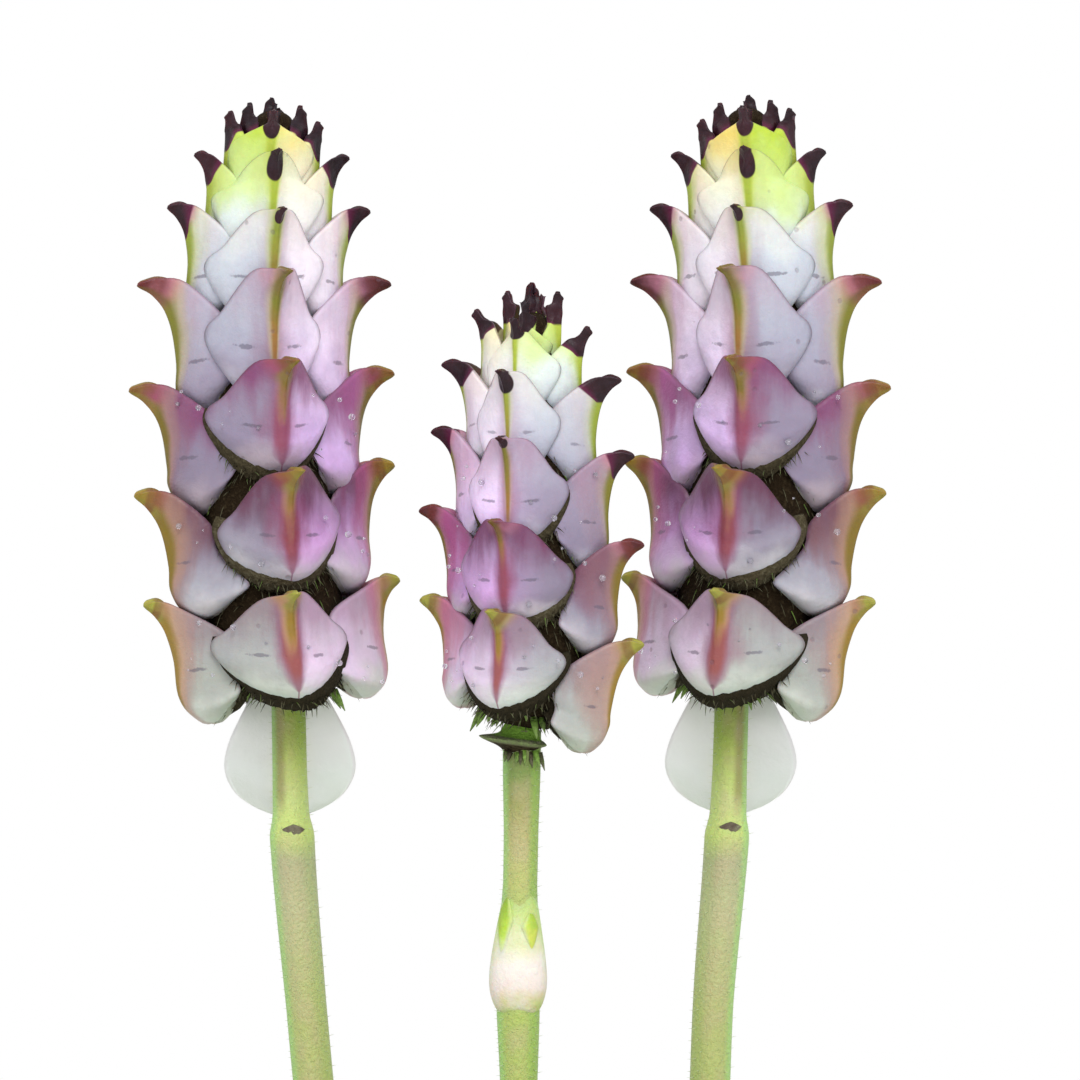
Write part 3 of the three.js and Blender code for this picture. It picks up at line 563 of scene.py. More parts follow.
def bractLook():
    look, tree = newLook("waxyBract", Roughness=0.4, Subsurface_Weight=0.1, Subsurface_Scale=0.001,
                         Specular_IOR_Level=0.25)
    tier, rise, across, horn, blush, seed, up, aside, sideways = fields(
        tree, "tier rise across horn blush seed height aside sideways")
    flameWide, hornTier, plain, inside, isLens, below, markLong, markWide = fields(
        tree, "flameWide hornTier plain inside lens below markLong markWide")
    side = abs(across)
    cloud, grain = mottle(tree, 260.0)
    # streaks along the bract: the same mottle, squeezed to a fifth of its height
    squeezed = put(tree, "VectorMath", {0: objectPlace(tree), 1: (1.0, 1.0, 0.2)}, operation="MULTIPLY")
    streak, _ = mottle(tree, 700.0, squeezed)
    raised = rise + streak * 0.13 + cloud * 0.14 - 0.13
    # faces by height: grey and lilac below, white, then cream on the warm side and yellow-green on the other.
    # Over their own colours, the warm ramp is painted lighter for the lit side and the cool one greyer for
    # the shaded side
    level = up + cloud * 0.04 - 0.02
    cool = ramp(level, "0 #aeb3a6, 22 #a5a4ae, 32 #877c90, 45 #8c8198, 54 #9a90a6, 62 #acacbe, 74 #c8ced8, "
                       "80 #e2ece6, 84 #d4e8a8, 88 #cce284, 93 #c4dc68, 96 #b8d23c, 100 #a8c438")
    warm = ramp(level, "0 #ecdcee, 22 #e4c6ea, 32 #cc9cd4, 45 #e6c2f8, 54 #f4d8ff, 64 #fae8ff, 74 #fbf0fc, "
                       "82 #fdf8f4, 88 #f8ecd6, 93 #f2e098, 97 #ecd070, 100 #e2cc74")
    flush = ramp(tier, "0 #7d5860, 14 #5e2c44, 28 #7c3464, 43 #a0688c, 57 #c79ab0, 70 #d4dc9c, 84 #c8d46c")
    low = ramp(tier, "0 #dfe4dc, 14 #d6d0d6, 28 #bcaab4, 43 #d4d2e0, 70 #eef4ec")
    flushShare = ramp(tier, "0 0.55, 14 0.92, 30 0.9, 43 0.42, 57 0.28, 70 0.2, 84 0.1")
    early = maths("MAXIMUM", sideways * band(tier, 0.42, 0.28), band(tier, 0.34, 0.22) * 0.8)
    base = painted(
        mixed(blush * (cloud * 0.4 + 0.65), cool, warm),
        (band(rise + cloud * 0.14, 0.4, 0.12) * 0.75, low),
        (band(raised + early * 0.14, 0.5, 0.98) * flushShare, flush))
    # rosy flush beside the keels. On a front bract it is a flame, broadest below the middle, with a purple
    # fringe; on a side bract a band, tan on the cool side and pink on the warm one. Widths are in mm.
    flame = ramp(rise, "10 0.0, 20 0.2, 42 0.5, 62 0.42, 90 0.3") * flameWide
    wide = mixed(sideways, flame, band(rise, 0.1, 0.6) * 0.5 + 0.35) * (streak * 0.5 + 0.75)
    off = aside / (wide + 0.02)
    coolFringe = ramp(tier, "0 #b08a80, 14 #8f6a68, 30 #8a6478, 50 #b9a0a4")
    warmFringe = ramp(tier, "0 #c8708c, 14 #b85488, 30 #b45c9c, 50 #d8a4c0")
    fringe = band(off, 4.2, 0.8) * ramp(tier, "0 0.75, 30 0.7, 43 0.35, 70 0.15, 84 0.0")
    heart = ramp(tier, "0 #94442e, 14 #82302a, 30 #8a3a50, 50 #a88058")
    core = band(off, 2.0, 0.5) * ramp(tier, "0 0.75, 30 0.75, 45 0.2, 70 0.0") * band(rise, 0.1, 0.3)
    base = painted(
        base,
        (fringe, mixed(sideways, "#8c4468", mixed(blush, coolFringe, warmFringe))),
        (core * (1 - sideways), heart))
    # olive keel line with a paler band beside it, both broader on the side bracts and on the cool side
    keelColour = ramp(tier, "0 #94782c, 14 #806a22, 30 #766620, 43 #7c7a26, 57 #8c9a34, 70 #a2b43a, "
                            "90 #b4c444")
    besideColour = ramp(tier, "0 #c4a07c, 14 #b08a70, 30 #aa867a, 43 #bcb084, 57 #c4cc84, 70 #c0d254, "
                              "90 #c4d450")
    lifted = raised + band(tier, 0.3, 0.44) * 0.34
    along = mixed(sideways, band(lifted, 0.42, 0.75), band(raised, 0.04, 0.26))
    wide = mixed(sideways, band(rise, 0.2, 0.85) * 0.16 + 0.13, band(rise, 0.12, 0.75) * 0.3 + 0.22)
    wide = wide * (1.15 - blush * 0.3) * (streak * 0.3 + 0.85) * (flameWide * 0.75 + 0.25)
    off = aside / wide
    spreadOut = sideways * flameWide * 0.8 + 2.5
    beside = line(off, spreadOut, 1.0, 0.0, 0.8) * (flameWide * 1.1 - 0.1)
    rusty = band(raised, 0.85, 0.4) * band(tier, 0.72, 0.5) * (0.7 - sideways * 0.7)
    base = painted(
        base,
        (beside * along, besideColour),
        (band(off, 1.7, 0.5) * along, mixed(rusty, keelColour, "#a86c3c")))
    # horn: rosy top, then dark, or olive on the lower tiers; its keel side is olive below and maroon above
    hornFoot = ramp(hornTier, "0 #a87c64, 14 #86423e, 28 #984a66, 43 #c88290, 57 #b87a92, 70 #5c1438, "
                              "84 #3c1018")
    hornEnd = ramp(hornTier, "0 #a4a244, 14 #98802e, 28 #86602c, 43 #6a2c2c, 57 #451a1c, 70 #2b0c12, "
                             "100 #220b0e")
    underTone = ramp(hornTier, "0 #8e8a38, 30 #84742c, 50 #5a3020, 62 #35100f, 80 #2b0c12")
    spot = band(abs(horn - 0.66), 0.16, 0.06) * band(tier, 0.5, 0.36)
    hornTone = painted(
        mixed(band(horn + cloud * 0.25, 0.5, 0.95), hornFoot, hornEnd),
        (band(side, 0.62, 0.3) * 0.85, underTone),
        (spot * cloud * 0.7, "#6e2a22"))
    offKeel = aside * line(tier, 0.5, 0.72, 1.0, 2.4)
    hornStart = ramp(tier, "0 0.3, 50 0.2, 84 0.12")
    base = mixed(band(horn - hornStart, 0.05, 0.3) * band(offKeel, 2.3, 1.2) * (1 - plain), base, hornTone)
    # near-black marks: a lens on a front keel, and a wedge over a side horn that narrows down its keel
    share = below / (markLong + 0.001)
    wedge = aside / (markWide * (1.12 - share))
    inner = band(wedge, 0.4, 0.95) * sideways
    wedge = band(wedge, 1.08, 0.9) * band(share, 1.03, 0.93)
    down = maths("MAXIMUM", share * 2 - 1.05, -0.6)
    lens = band((aside / markWide) ** 2 + down**2, 1.15, 0.85)
    mark = mixed(isLens, wedge, lens) * maths("GREATER_THAN", markLong, 0.5)
    markColour = mixed(inner * 0.7, mixed(cloud, "#16050a", "#340c16"), "#661040")
    # short grey lens-shaped dashes on both sides of the keel at mid height
    dashAside = (side - 0.36) / (seed * 0.1 + 0.12)
    dashUp = (rise - side * 0.06 - seed * 0.06 - 0.4) / 0.018
    away = maths("SQRT", dashAside**2 + dashUp**2) + grain * 0.9
    spots = dots(tree, 900.0, 0.08)
    base = painted(
        base,
        (mark, markColour),
        (band(side, 0.955, 1.0) * 0.45, "#66485c"),
        (band(away, 1.5, 0.9) * band(tier, 0.72, 0.56) * 0.6, "#5c5566"),
        (spots * 0.35, "#6e5a68"),
        (grain * 0.09, "#6c6274"),
        (inside * band(horn, 0.5, 0.1) * 0.4, "#77784c"))
    return finishLook(look, base, grain * 0.5 - spots * 0.6, 6e-05, grain * 0.18 + 0.32)


calyxShape = {
    "tiers": 3, "inset": {"front": 0.93, "side": 0.84}, "wider": 5, "wall": 0.35,
    "columns": 33, "innerColumns": 9, "hairShare": 0.96,
    "below": {"front": [0, 0.6, 0.62, 0.4, 0.1], "side": [0, -0.6, -0.6, 0.2, 0.3]},
    "hairs": 44, "hairLength": 0.85, "hairRadius": 0.05, "sepals": 15, "sepalLength": 1.7, "sepalRadius": 0.3,
}
coreShape = {"foot": 1.2, "dome": 1.2, "rows": 30, "domeRows": 9, "share": 0.66, "sides": 20, "hairs": 620,
             "hairLength": 0.9, "hairRadius": 0.06}
dropShape = {"count": 46, "radius": 0.23, "tiers": 3}


def calyxSkins(spike, number, side):
    # The cup is the bract's own lower rows, drawn in, a little wider and lower, with a ragged rim and hairs
    shape = calyxShape
    rails, _, _ = bractRails(spike, number, side)
    step = bractShape["perSpan"]
    rows = rails[:4 * step + 1]
    bearing, _, sort, fore = bractShape["sides"][side]
    below = np.interp(np.arange(len(rows)) / step, range(5), shape["below"][sort])
    rows[:, [0, 2]] *= shape["inset"][sort]
    rows[:, 4] += radians(shape["wider"])
    keelOut, keelUp, marginOut, marginUp, half = rows.T[:5, :, None]
    facing = radians(bearing + spike["yaw"])
    skew = spike["skew"][number] if fore else 0

    def surface(v, inset=0.0):
        s = np.abs(v)
        ragged = 0.16 * np.sin(v * 37 + number * 5) + 0.12 * np.sin(v * 61 + number * 3 + len(side))
        out = keelOut + (marginOut - keelOut) * s**1.2 - inset
        up = keelUp + (marginUp - keelUp) * s**2 - below[:, None] * (1 + ragged)
        return bowed(spike, polar(out, facing + v * half * (1 - skew * np.sign(v)), up))

    ring = np.concatenate([surface(np.linspace(-1, 1, shape["columns"])),
                           surface(np.linspace(1, -1, shape["innerColumns"]), shape["wall"])], 1)
    # the cup's near-black brown is partly the calyx's own colour and partly painted shade of the gap under
    # the bract
    cup = skin(ring, look=1, tone=0.25 + 0.2 * spread(number * 3 + len(side)), tipward=0.1)
    v = np.linspace(-shape["hairShare"], shape["hairShare"], shape["hairs"])
    each = np.arange(len(v))
    roots = surface(v)[np.where(each % 3, 2 * step, step + 2), each]
    count = each + 50 * number + 17 * len(side)
    angle = facing + v * half[2 * step] * (1 - skew * np.sign(v)) + spread(count) * 0.5
    hairs = cones(roots, polar(1, angle, -0.7 + 0.6 * spread(count * 3)),
                  shape["hairLength"] * (0.7 + 0.5 * lot(count * 7)), shape["hairRadius"],
                  bend=0.2, look=1, tone=0.4 + 0.35 * spread(count * 11))
    return [cup, hairs]


def sepalSkin(spike):
    # Green pointed sepals round the top of the stem
    shape = calyxShape
    count = np.arange(shape["sepals"])
    angle = turns(len(count)) + 0.2 * spread(count)
    out = (0.42 + 0.1 * spread(count * 3)) * spike["tiers"][0][5]
    roots = bowed(spike, polar(out, angle, 2.7 + 0.5 * spread(count * 5)))
    return cones(roots, polar(0.5, angle, -0.9), shape["sepalLength"] * (0.9 + 0.25 * spread(count * 9)),
                 shape["sepalRadius"], 6, look=1, tone=0.85 + 0.15 * spread(count * 7))


def coreSkins(spike):
    # A dark stalk inside the bracts, a share of the keel radius wide and domed at its top, with hairs on its
    # lower part. The dome's radius is the root of 1 - t^2, with t from 0 to 1 over the dome's height.
    shape = coreShape
    tiers = np.array(spike["tiers"])
    middle = tiers[:, :4].mean(1) - tiers[:, 6] * 0.5
    domeFoot = spike["coreTop"] - shape["dome"]
    up = np.concatenate([np.linspace(shape["foot"], domeFoot - 0.2, shape["rows"]),
                         domeFoot + shape["dome"] * np.sin(np.linspace(0, pi / 2, shape["domeRows"]))])
    dome = np.sqrt(np.clip(1 - np.clip((up - domeFoot) / shape["dome"], 0, 1) ** 2, 0.001, 1))
    radius = np.interp(up, middle[:-1], tiers[:-1, 5] * shape["share"]) * ease(up, 0.0, 4.4) * dome
    # the stalk's near-black brown is partly painted shade of the hollow between the bracts
    stalk = skin(tube(bowed(spike, polar(0, 0, up)), radius, shape["sides"]), look=1, tone=0.2, tipward=0.0)
    count = np.arange(shape["hairs"])
    at = 1.5 + (tiers[3, 2] - 4) * (count + 0.5) / len(count)
    angle = count * goldenTurn
    hairs = cones(bowed(spike, polar(0.97 * np.interp(at, up, radius), angle, at)),
                  polar(1, angle, -0.9 + 0.8 * spread(count * 3)),
                  shape["hairLength"] + 0.5 * spread(count * 5), shape["hairRadius"],
                  bend=0.3, look=1, tone=0.45 + 0.45 * spread(count * 7))
    return [stalk, hairs]


def dropSkin(spike):
    # Clear beads on the lower bracts: small balls at even but unrepeating places
    shape = dropShape
    count = np.arange(shape["count"])
    tiers = np.array(spike["tiers"])[count % shape["tiers"]]
    angle = radians(270) + 1.9 * spread(count * 5 + 2)
    up = tiers[:, 2] - tiers[:, 6] * (0.5 + 0.26 * spread(count * 3 + 1))
    radius = shape["radius"] * (0.75 + 0.45 * spread(count * 13))
    middle = bowed(spike, polar(tiers[:, 5] * 0.96, angle, up))
    frames = polar(1, angle + pi / 2, 0), polar(0, angle, 1), polar(1, angle, 0)
    sphere = ball(7, 10, 0.05)
    shell = sum(sphere[..., k, None] * way[:, None, None] for k, way in enumerate(frames))
    return skin(middle[:, None, None] + shell * radius[:, None, None, None], look=2)


def calyxLook():
    look, tree = newLook("driedCalyxAndShade", Roughness=0.9, Specular_IOR_Level=0.15)
    tone, tipward = fields(tree, "tone tipward")
    _, grain = mottle(tree, 500.0)
    # the dark end of this ramp, where the cups and the stalk sit, is partly painted shade of the hollows
    # between the bracts
    base = ramp(tone + grain * 0.25, "10 #1c1206, 35 #2c2010, 55 #4e4430, 70 #6a6450, 80 #56702a, "
                                     "100 #8cbc4a")
    return finishLook(look, mixed(tipward * 0.45, base, "#a3a584"), grain, 0.0002)


hangingShape = {
    "rows": [[4.0, 1.6, 1.6], [2.0, 2.6, 2.5], [0.0, 3.7, 3.3], [-2.4, 4.8, 4.0], [-4.4, 5.1, 4.2],
             [-6.2, 4.2, 3.9], [-7.4, 2.4, 3.4], [-7.9, 0.6, 3.1]],
    "hollow": 1.2, "wall": 0.3, "columns": 25, "perSpan": 4, "shadedFrom": 4.0, "shadedLength": 11.3,
}


def hangingBract():
    # A round hollow blade behind the stem: rows of height, half-width and distance back,
    # with y = back - hollow v^2
    shape = hangingShape
    up, half, back = smoothTable(shape["rows"], shape["perSpan"]).T[..., None]
    v = np.linspace(-1, 1, shape["columns"])

    def face(v, wall):
        wave = 0.12 * np.sin(up * 1.7 + v * 4)
        y = back + wave - shape["hollow"] * v**2 + wall * (1 - 0.8 * v**2)
        return np.stack([v * half, y, up + 0.5 * v**2], -1)

    points = np.concatenate([face(v, shape["wall"]), face(v[::-1], 0)], 1)
    along = (shape["shadedFrom"] - up) / shape["shadedLength"]
    return skin(points, look=3, along=along, across=np.concatenate([v, v[::-1]]))


def hangingLook():
    look, tree = newLook("paleBract", Roughness=0.35, Subsurface_Weight=0.8, Subsurface_Scale=0.003,
                         Subsurface_Radius=(1.0, 1.0, 1.0))
    across, along = fields(tree, "across along")
    side = abs(across)
    cloud, grain = mottle(tree, 180.0)
    base = painted(
        ramp(along, "20 #fafdf4, 50 #f8fffb, 75 #e2f6ea, 100 #ecfaf4"),
        (band(side, 0.55, 0.1) * cloud, "#edf4d4"),
        (band(side, 0.93, 1.0) * 0.5, "#d9c4d0"),
        (cloud * 0.35, "#fafafd"))
    return finishLook(look, base, grain, 4e-05)


def makeSpike(name, spike, place, node, hanging=True):
    sides = bractShape["sides"]
    parts = [bractSkin(spike, number, side) for number in range(len(spike["tiers"])) for side in sides]
    for number in range(calyxShape["tiers"]):
        for side in sides:
            parts += calyxSkins(spike, number, side)
    parts += [sepalSkin(spike), *coreSkins(spike), dropSkin(spike)] + [hangingBract()] * hanging
    makePiece(name, parts, [waxyBract, driedCalyxAndShade, dew, paleBract], node, place=place)


waxyBract = bractLook()
driedCalyxAndShade = calyxLook()
dew = plainLook("dew", 900.0, "#f4f2f8", "#e6e2ec", 1e-05, Roughness=0.04, IOR=1.33, Transmission_Weight=0.85)
paleBract = hangingLook()
makeSpike("leftSpikeBracts", tallSpike, spikePlaces["left"], "left_spike")
makeSpike("middleSpikeBracts", shortSpike, spikePlaces["middle"], "middle_spike", hanging=False)
makeSpike("rightSpikeBracts", mirrored(tallSpike), spikePlaces["right"], "right_spike")


# Flowering stem

flowerStem = {
    "paths": {  # x, y, height
        "main": [[0, -2, 62.4], [0, -2, 84], [0.3, -2.2, 108], [0, -3, 131]],
        "left": [[0, -3, 127], [-5.5, -1, 140], [-12, 1.4, 164], [-15.4, 2, 188], [-16.7, 2, 201],
                 [-17.7, 2, 213], [-18.0, 2, 223.8]],
        "middle": [[0, -3, 129], [0.6, -5, 150], [-0.2, -6.6, 172], [-0.15, -7, 195], [-0.2, -7, 203],
                   [0, -7, 212], [0.1, -7, 221.5]],
        "right": [[0, -3, 127], [5, -1, 140], [10.8, 1.4, 164], [14.2, 2, 188], [14.9, 2, 201],
                  [15.9, 2, 213], [16.3, 2, 224.0]],
    },
    "radii": {  # height, radius
        "main": [[62, 2.8], [84, 2.65], [108, 2.35], [129, 2.3], [131, 2.1]],
        "left": [[127, 1.7], [146, 1.75], [149, 1.6], [164, 1.55], [188, 1.5], [200, 1.5], [210, 1.62],
                 [213.2, 1.66], [214.6, 1.36], [218, 1.28], [224, 1.25]],
        "middle": [[129, 1.9], [150, 1.7], [172, 1.55], [181, 1.5], [195, 1.36], [200, 1.56], [204, 1.5],
                   [210, 1.24], [214, 1.26], [218, 1.36], [222, 1.4]],
    },
    "leaves": [  # place, heading of the first leaf, length, rise and droop
        [[0, -3, 129], 60, 25, 24, 60], [[-8.0, 0, 148], 75, 25, 38, 70], [[9.4, 0.9, 156], 105, 25, 38, 70],
        [[-13.2, 1.7, 170], 172, 17, 42, 66], [[13.0, 1.8, 177], 8, 17, 42, 66],
        [[-0.2, -6.8, 182], 90, 20, 34, 66],
    ],
    "sides": 24, "squareness": 0.045, "rowHeight": 0.7,
    "hairsPerMm": 11, "hairLength": 0.42, "hairRadius": 0.028,
    "scars": {"left": 213.6, "right": 213.8}, "scarWidth": 1.8, "scarHeight": 1.05, "scarTurn": 0.14,
    "bud": {
        "sleeve": [  # height, radius, and how much wider across
            [199.9, 1.3, 1.0], [200.6, 1.68, 1.06], [201.6, 1.92, 1.1], [202.8, 2.0, 1.1], [204.4, 1.9, 1.08],
            [206.2, 1.68, 1.05], [208.0, 1.42, 1.02], [209.3, 1.16, 1.0]],
        "scales": [[226, 204.2, 208.9, 0.72], [304, 204.8, 207.7, 0.74]],  # facing, foot, tip, half-width
        "shadedFrom": 200, "shadedLength": 9.2, "thickness": 0.28, "widestAt": 0.62,
    },
    "collar": {
        "profile": [  # radius, height, and how far off to the left
            [1.15, 222.2, 0.0], [1.4, 221.6, 0.05], [1.62, 221.1, 0.2], [2.34, 220.82, 0.7],
            [2.44, 220.66, 0.74], [2.0, 220.42, 0.62], [1.5, 220.1, 0.3], [1.2, 219.6, 0.0]],
        "tilt": 0.14, "shreds": 9, "shredRadius": 0.24, "firstAngle": 205, "apart": 0.27,
    },
    "colourFoot": 0.06, "colourTop": 0.224,  # in metres, as the material measures
}
flowerStem["radii"]["right"] = flowerStem["radii"]["left"]


def stemPath(name):
    points = np.array(flowerStem["paths"][name], float)
    path = throughPoints(points, int((points[-1, 2] - points[0, 2]) / flowerStem["rowHeight"]))
    return path, np.interp(path[:, 2], *np.array(flowerStem["radii"][name]).T)


def onStem(name, out, angle, up):  # a place beside the stem's middle line at a height
    path, _ = stemPath(name)
    points = polar(out, angle, up)
    for k in range(2):
        points[..., k] += np.interp(points[..., 2], path[:, 2], path[:, k])
    return points


def stemSkins(name):
    # A four-cornered tube along the path, and short hairs that stand out from it at turning angles
    shape = flowerStem
    path, radius = stemPath(name)
    rings = tube(path, radius, shape["sides"], squareness=shape["squareness"])
    # sunny is 1 on the lit side of the stem and -1 on the shaded side; the stem's material paints light and
    # shade by it
    sunnySide = -1 if name == "right" else 1
    sunny = (rings[..., 0] - path[:, None, 0]) / radius[:, None] * sunnySide
    stalk = skin(rings, sunny=sunny, hair=0.0, central=name == "middle")
    count = np.arange(int((path[-1, 2] - path[0, 2]) * shape["hairsPerMm"]))
    share = (count + 0.5) / len(count) * (len(path) - 2)
    row = share.astype(int)
    middle = path[row] + (path[row + 1] - path[row]) * (share - row)[:, None]
    angle = count * goldenTurn
    hairs = cones(middle + polar(radius[row] * 0.97, angle, 0), polar(1, angle, 0.25 * spread(count * 3)),
                  shape["hairLength"] * (0.8 + 0.4 * spread(count * 7)), shape["hairRadius"], hair=1.0)
    return [stalk, hairs]


def scarSkin(name):
    # A lens-shaped leaf scar that hugs the front of the stem: half height = (1 - |v|)^0.8 of the whole
    shape = flowerStem
    path, radius = stemPath(name)
    middle = [np.interp(shape["scars"][name], path[:, 2], path[:, k]) for k in range(3)]
    size = np.interp(shape["scars"][name], path[:, 2], radius)
    v = np.linspace(-1, 1, 15)[:, None]
    turn = turns(12)
    half = shape["scarHeight"] / 2 * np.maximum(1 - np.abs(v), 0.02) ** 0.8
    angle = radians(270) + v * shape["scarWidth"] / 2 / size + shape["scarTurn"]
    out = size + 0.02 + 0.1 * np.cos(turn) * (half / half.max()) ** 0.5
    return skin(polar(out, angle, half * np.sin(turn) - 0.12 * (1 - np.abs(v))) + middle, look=1)


def budSkins():
    # A swollen sleeve round the middle stem, radius against height, and two pointed scales that hug it
    shape = flowerStem["bud"]
    up, radius, across = smoothTable(shape["sleeve"], 4).T[..., None]
    turn = turns(28)
    rings = onStem("middle", radius * (1 + (across - 1) * np.cos(turn) ** 2), turn, up)
    along = (up - shape["shadedFrom"]) / shape["shadedLength"]
    skins = [skin(rings, look=2, along=along, scale=0.0, edge=0.0, rightward=np.cos(turn))]
    heights, radii, _ = np.array(shape["sleeve"]).T
    share = np.linspace(0, 1, 22)[:, None]
    turn = turns(16)
    for facing, foot, tip, width in shape["scales"]:
        up = foot + (tip - foot) * share
        rising = (share / shape["widestAt"]) ** 0.8
        half = width * np.minimum(rising, ((1 - share) / (1 - shape["widestAt"])) ** 0.6) + 0.03
        body = np.interp(up, heights, radii)
        angle = radians(facing) + half * np.cos(turn) / body
        out = body - 0.1 + 0.2 * share + shape["thickness"] * (half / width) ** 0.6 * np.sin(turn)
        along = (up - shape["shadedFrom"]) / shape["shadedLength"]
        skins.append(skin(onStem("middle", out, angle, up), look=2, along=along, scale=1.0,
                          edge=np.abs(np.cos(turn)), rightward=np.cos(angle)))
    return skins


def collarSkins():
    # The dried ring of fallen bracts under the middle spike: a thin flange set off to the left and tilted
    # under a green foot, with a few shreds
    shape = flowerStem["collar"]
    radius, up, shift = smoothTable(shape["profile"], 3).T[..., None]
    a = turns(48)
    out = radius * (1 + (0.05 * np.sin(a * 7 + 1) + 0.04 * np.sin(a * 17)) * ease(radius, 1.8, 2.3))
    points = onStem("middle", out, a, up)
    points[..., 0] -= shift
    points[..., 2] -= shape["tilt"] * out * np.cos(a)
    edge, above = ease(radius, 1.9, 2.25), ease(up, 220.7, 221.1)
    tone = 1.1 * above * (1 - edge) + 0.44 * edge + 0.3 * (1 - above)
    saucer = skin(points, look=3, tone=tone, tipward=edge * 1.3)
    count = np.arange(shape["shreds"])
    angle = radians(shape["firstAngle"]) + count * shape["apart"] + 0.1 * spread(count)
    roots = onStem("middle", 1.35 + 0.2 * spread(count * 3), angle, 219.9 - 0.1 * spread(count))
    shreds = cones(roots, polar(0.35, angle, -0.9 - 0.2 * spread(count)), 1.2 + 0.5 * spread(count * 5),
                   shape["shredRadius"], 5, look=3, tone=0.6 + 0.45 * spread(count * 9))
    return [saucer, shreds]


def stemLook():
    look, tree = newLook("hairyStem", Roughness=0.55, Subsurface_Weight=0.1, Subsurface_Scale=0.0015,
                         Sheen_Weight=0.2)
    sunny, central, hair = fields(tree, "sunny central hair")
    up = put(tree, "SeparateXYZ", {"Vector": objectPlace(tree)}, "Z")
    share = line(up, flowerStem["colourFoot"], flowerStem["colourTop"])
    cloud, grain = mottle(tree, 520.0)
    outer = ramp(share, "0 #7f8a4e, 50 #96a85c, 78 #b0be66, 85 #b4be70, 90 #bcc08c, 92.2 #b0b486, "
                        "93.4 #c8dc76, 95 #cadc84, 97.2 #b8cf5e, 98.5 #9cb836, 100 #80a018")
    inner = ramp(share, "0 #7f8a4e, 50 #96a85c, 78 #aebe5c, 85 #b0c460, 90 #b8c468, 92.5 #bcc072, "
                        "94 #b2ae6c, 95.1 #969c4c, 96.5 #74903a, 100 #5c8028")
    # colours by side: olive near the top of the shaded side is painted shade, the pale green along the shaded
    # edge is a painted rim of backlight, and the sunny side is a deeper green
    olive = band(sunny, -0.05, -0.5) * band(share, 0.94, 0.955) * (0.85 - central)
    middle = band(abs(sunny), 0.9, 0.3) * band(share, 0.6, 0.8) * (cloud * 0.4 + 0.05)
    base = painted(
        mixed(central, outer, inner),
        (olive, "#94904c"),
        (middle, "#c4b190"),
        (band(sunny, -0.6, -0.95) * 0.75, "#a2d874"),
        (band(sunny, 0.3, 0.8) * (central * 0.6 + 0.2), "#94bc4c"),
        (grain * 0.16, "#98a068"),
        (hair * 0.7, "#e0f2cc"))
    return finishLook(look, base, grain, 8e-05)


def budLook():
    look, tree = newLook("sideBud", Roughness=0.45, Subsurface_Weight=0.2, Subsurface_Scale=0.0015)
    along, isScale, edge, rightward = fields(tree, "along scale edge rightward")
    cloud, grain = mottle(tree, 400.0)
    share = along + cloud * 0.16 - 0.08
    sleeve = ramp(share, "0 #c6d274, 8 #dcd2a4, 20 #f0dfd8, 48 #f2e8e0, 62 #e2e0b8, 78 #c8d480, 100 #bcd070")
    cool = ramp(share, "0 #f2dfd8, 48 #f2e8de, 60 #dce88c, 72 #b8d83a, 88 #94b824, 100 #7ca01c")
    warm = ramp(share, "0 #f2e0d8, 42 #f4e6dc, 54 #f8dc8c, 64 #dcdc58, 76 #a8c834, 100 #88ac20")
    base = painted(
        sleeve,
        (isScale * band(edge, 1.02, 0.45), mixed(band(rightward, -0.1, 0.5), cool, warm)),
        # pale green along the left and right edges as seen from the front, stronger towards the top: a
        # painted rim of backlight
        (band(abs(rightward), 0.8, 1.0) * along * 0.6, "#c4ec94"),
        (grain * 0.1, "#c9a9b8"))
    return finishLook(look, base, grain, 4e-05)


# Leaves

leafShape = {
    "widthShare": 0.68, "petiole": 0.15, "petioleRadius": 0.8, "fold": 0.2, "rows": 37, "columns": 15,
    "midThickness": 1.1, "marginThickness": 0.4, "teeth": 6.5, "toothDepth": 0.085,
    "veins": 6.0, "veinSlant": 1.5, "quilt": 0.22, "wave": 0.05,
}


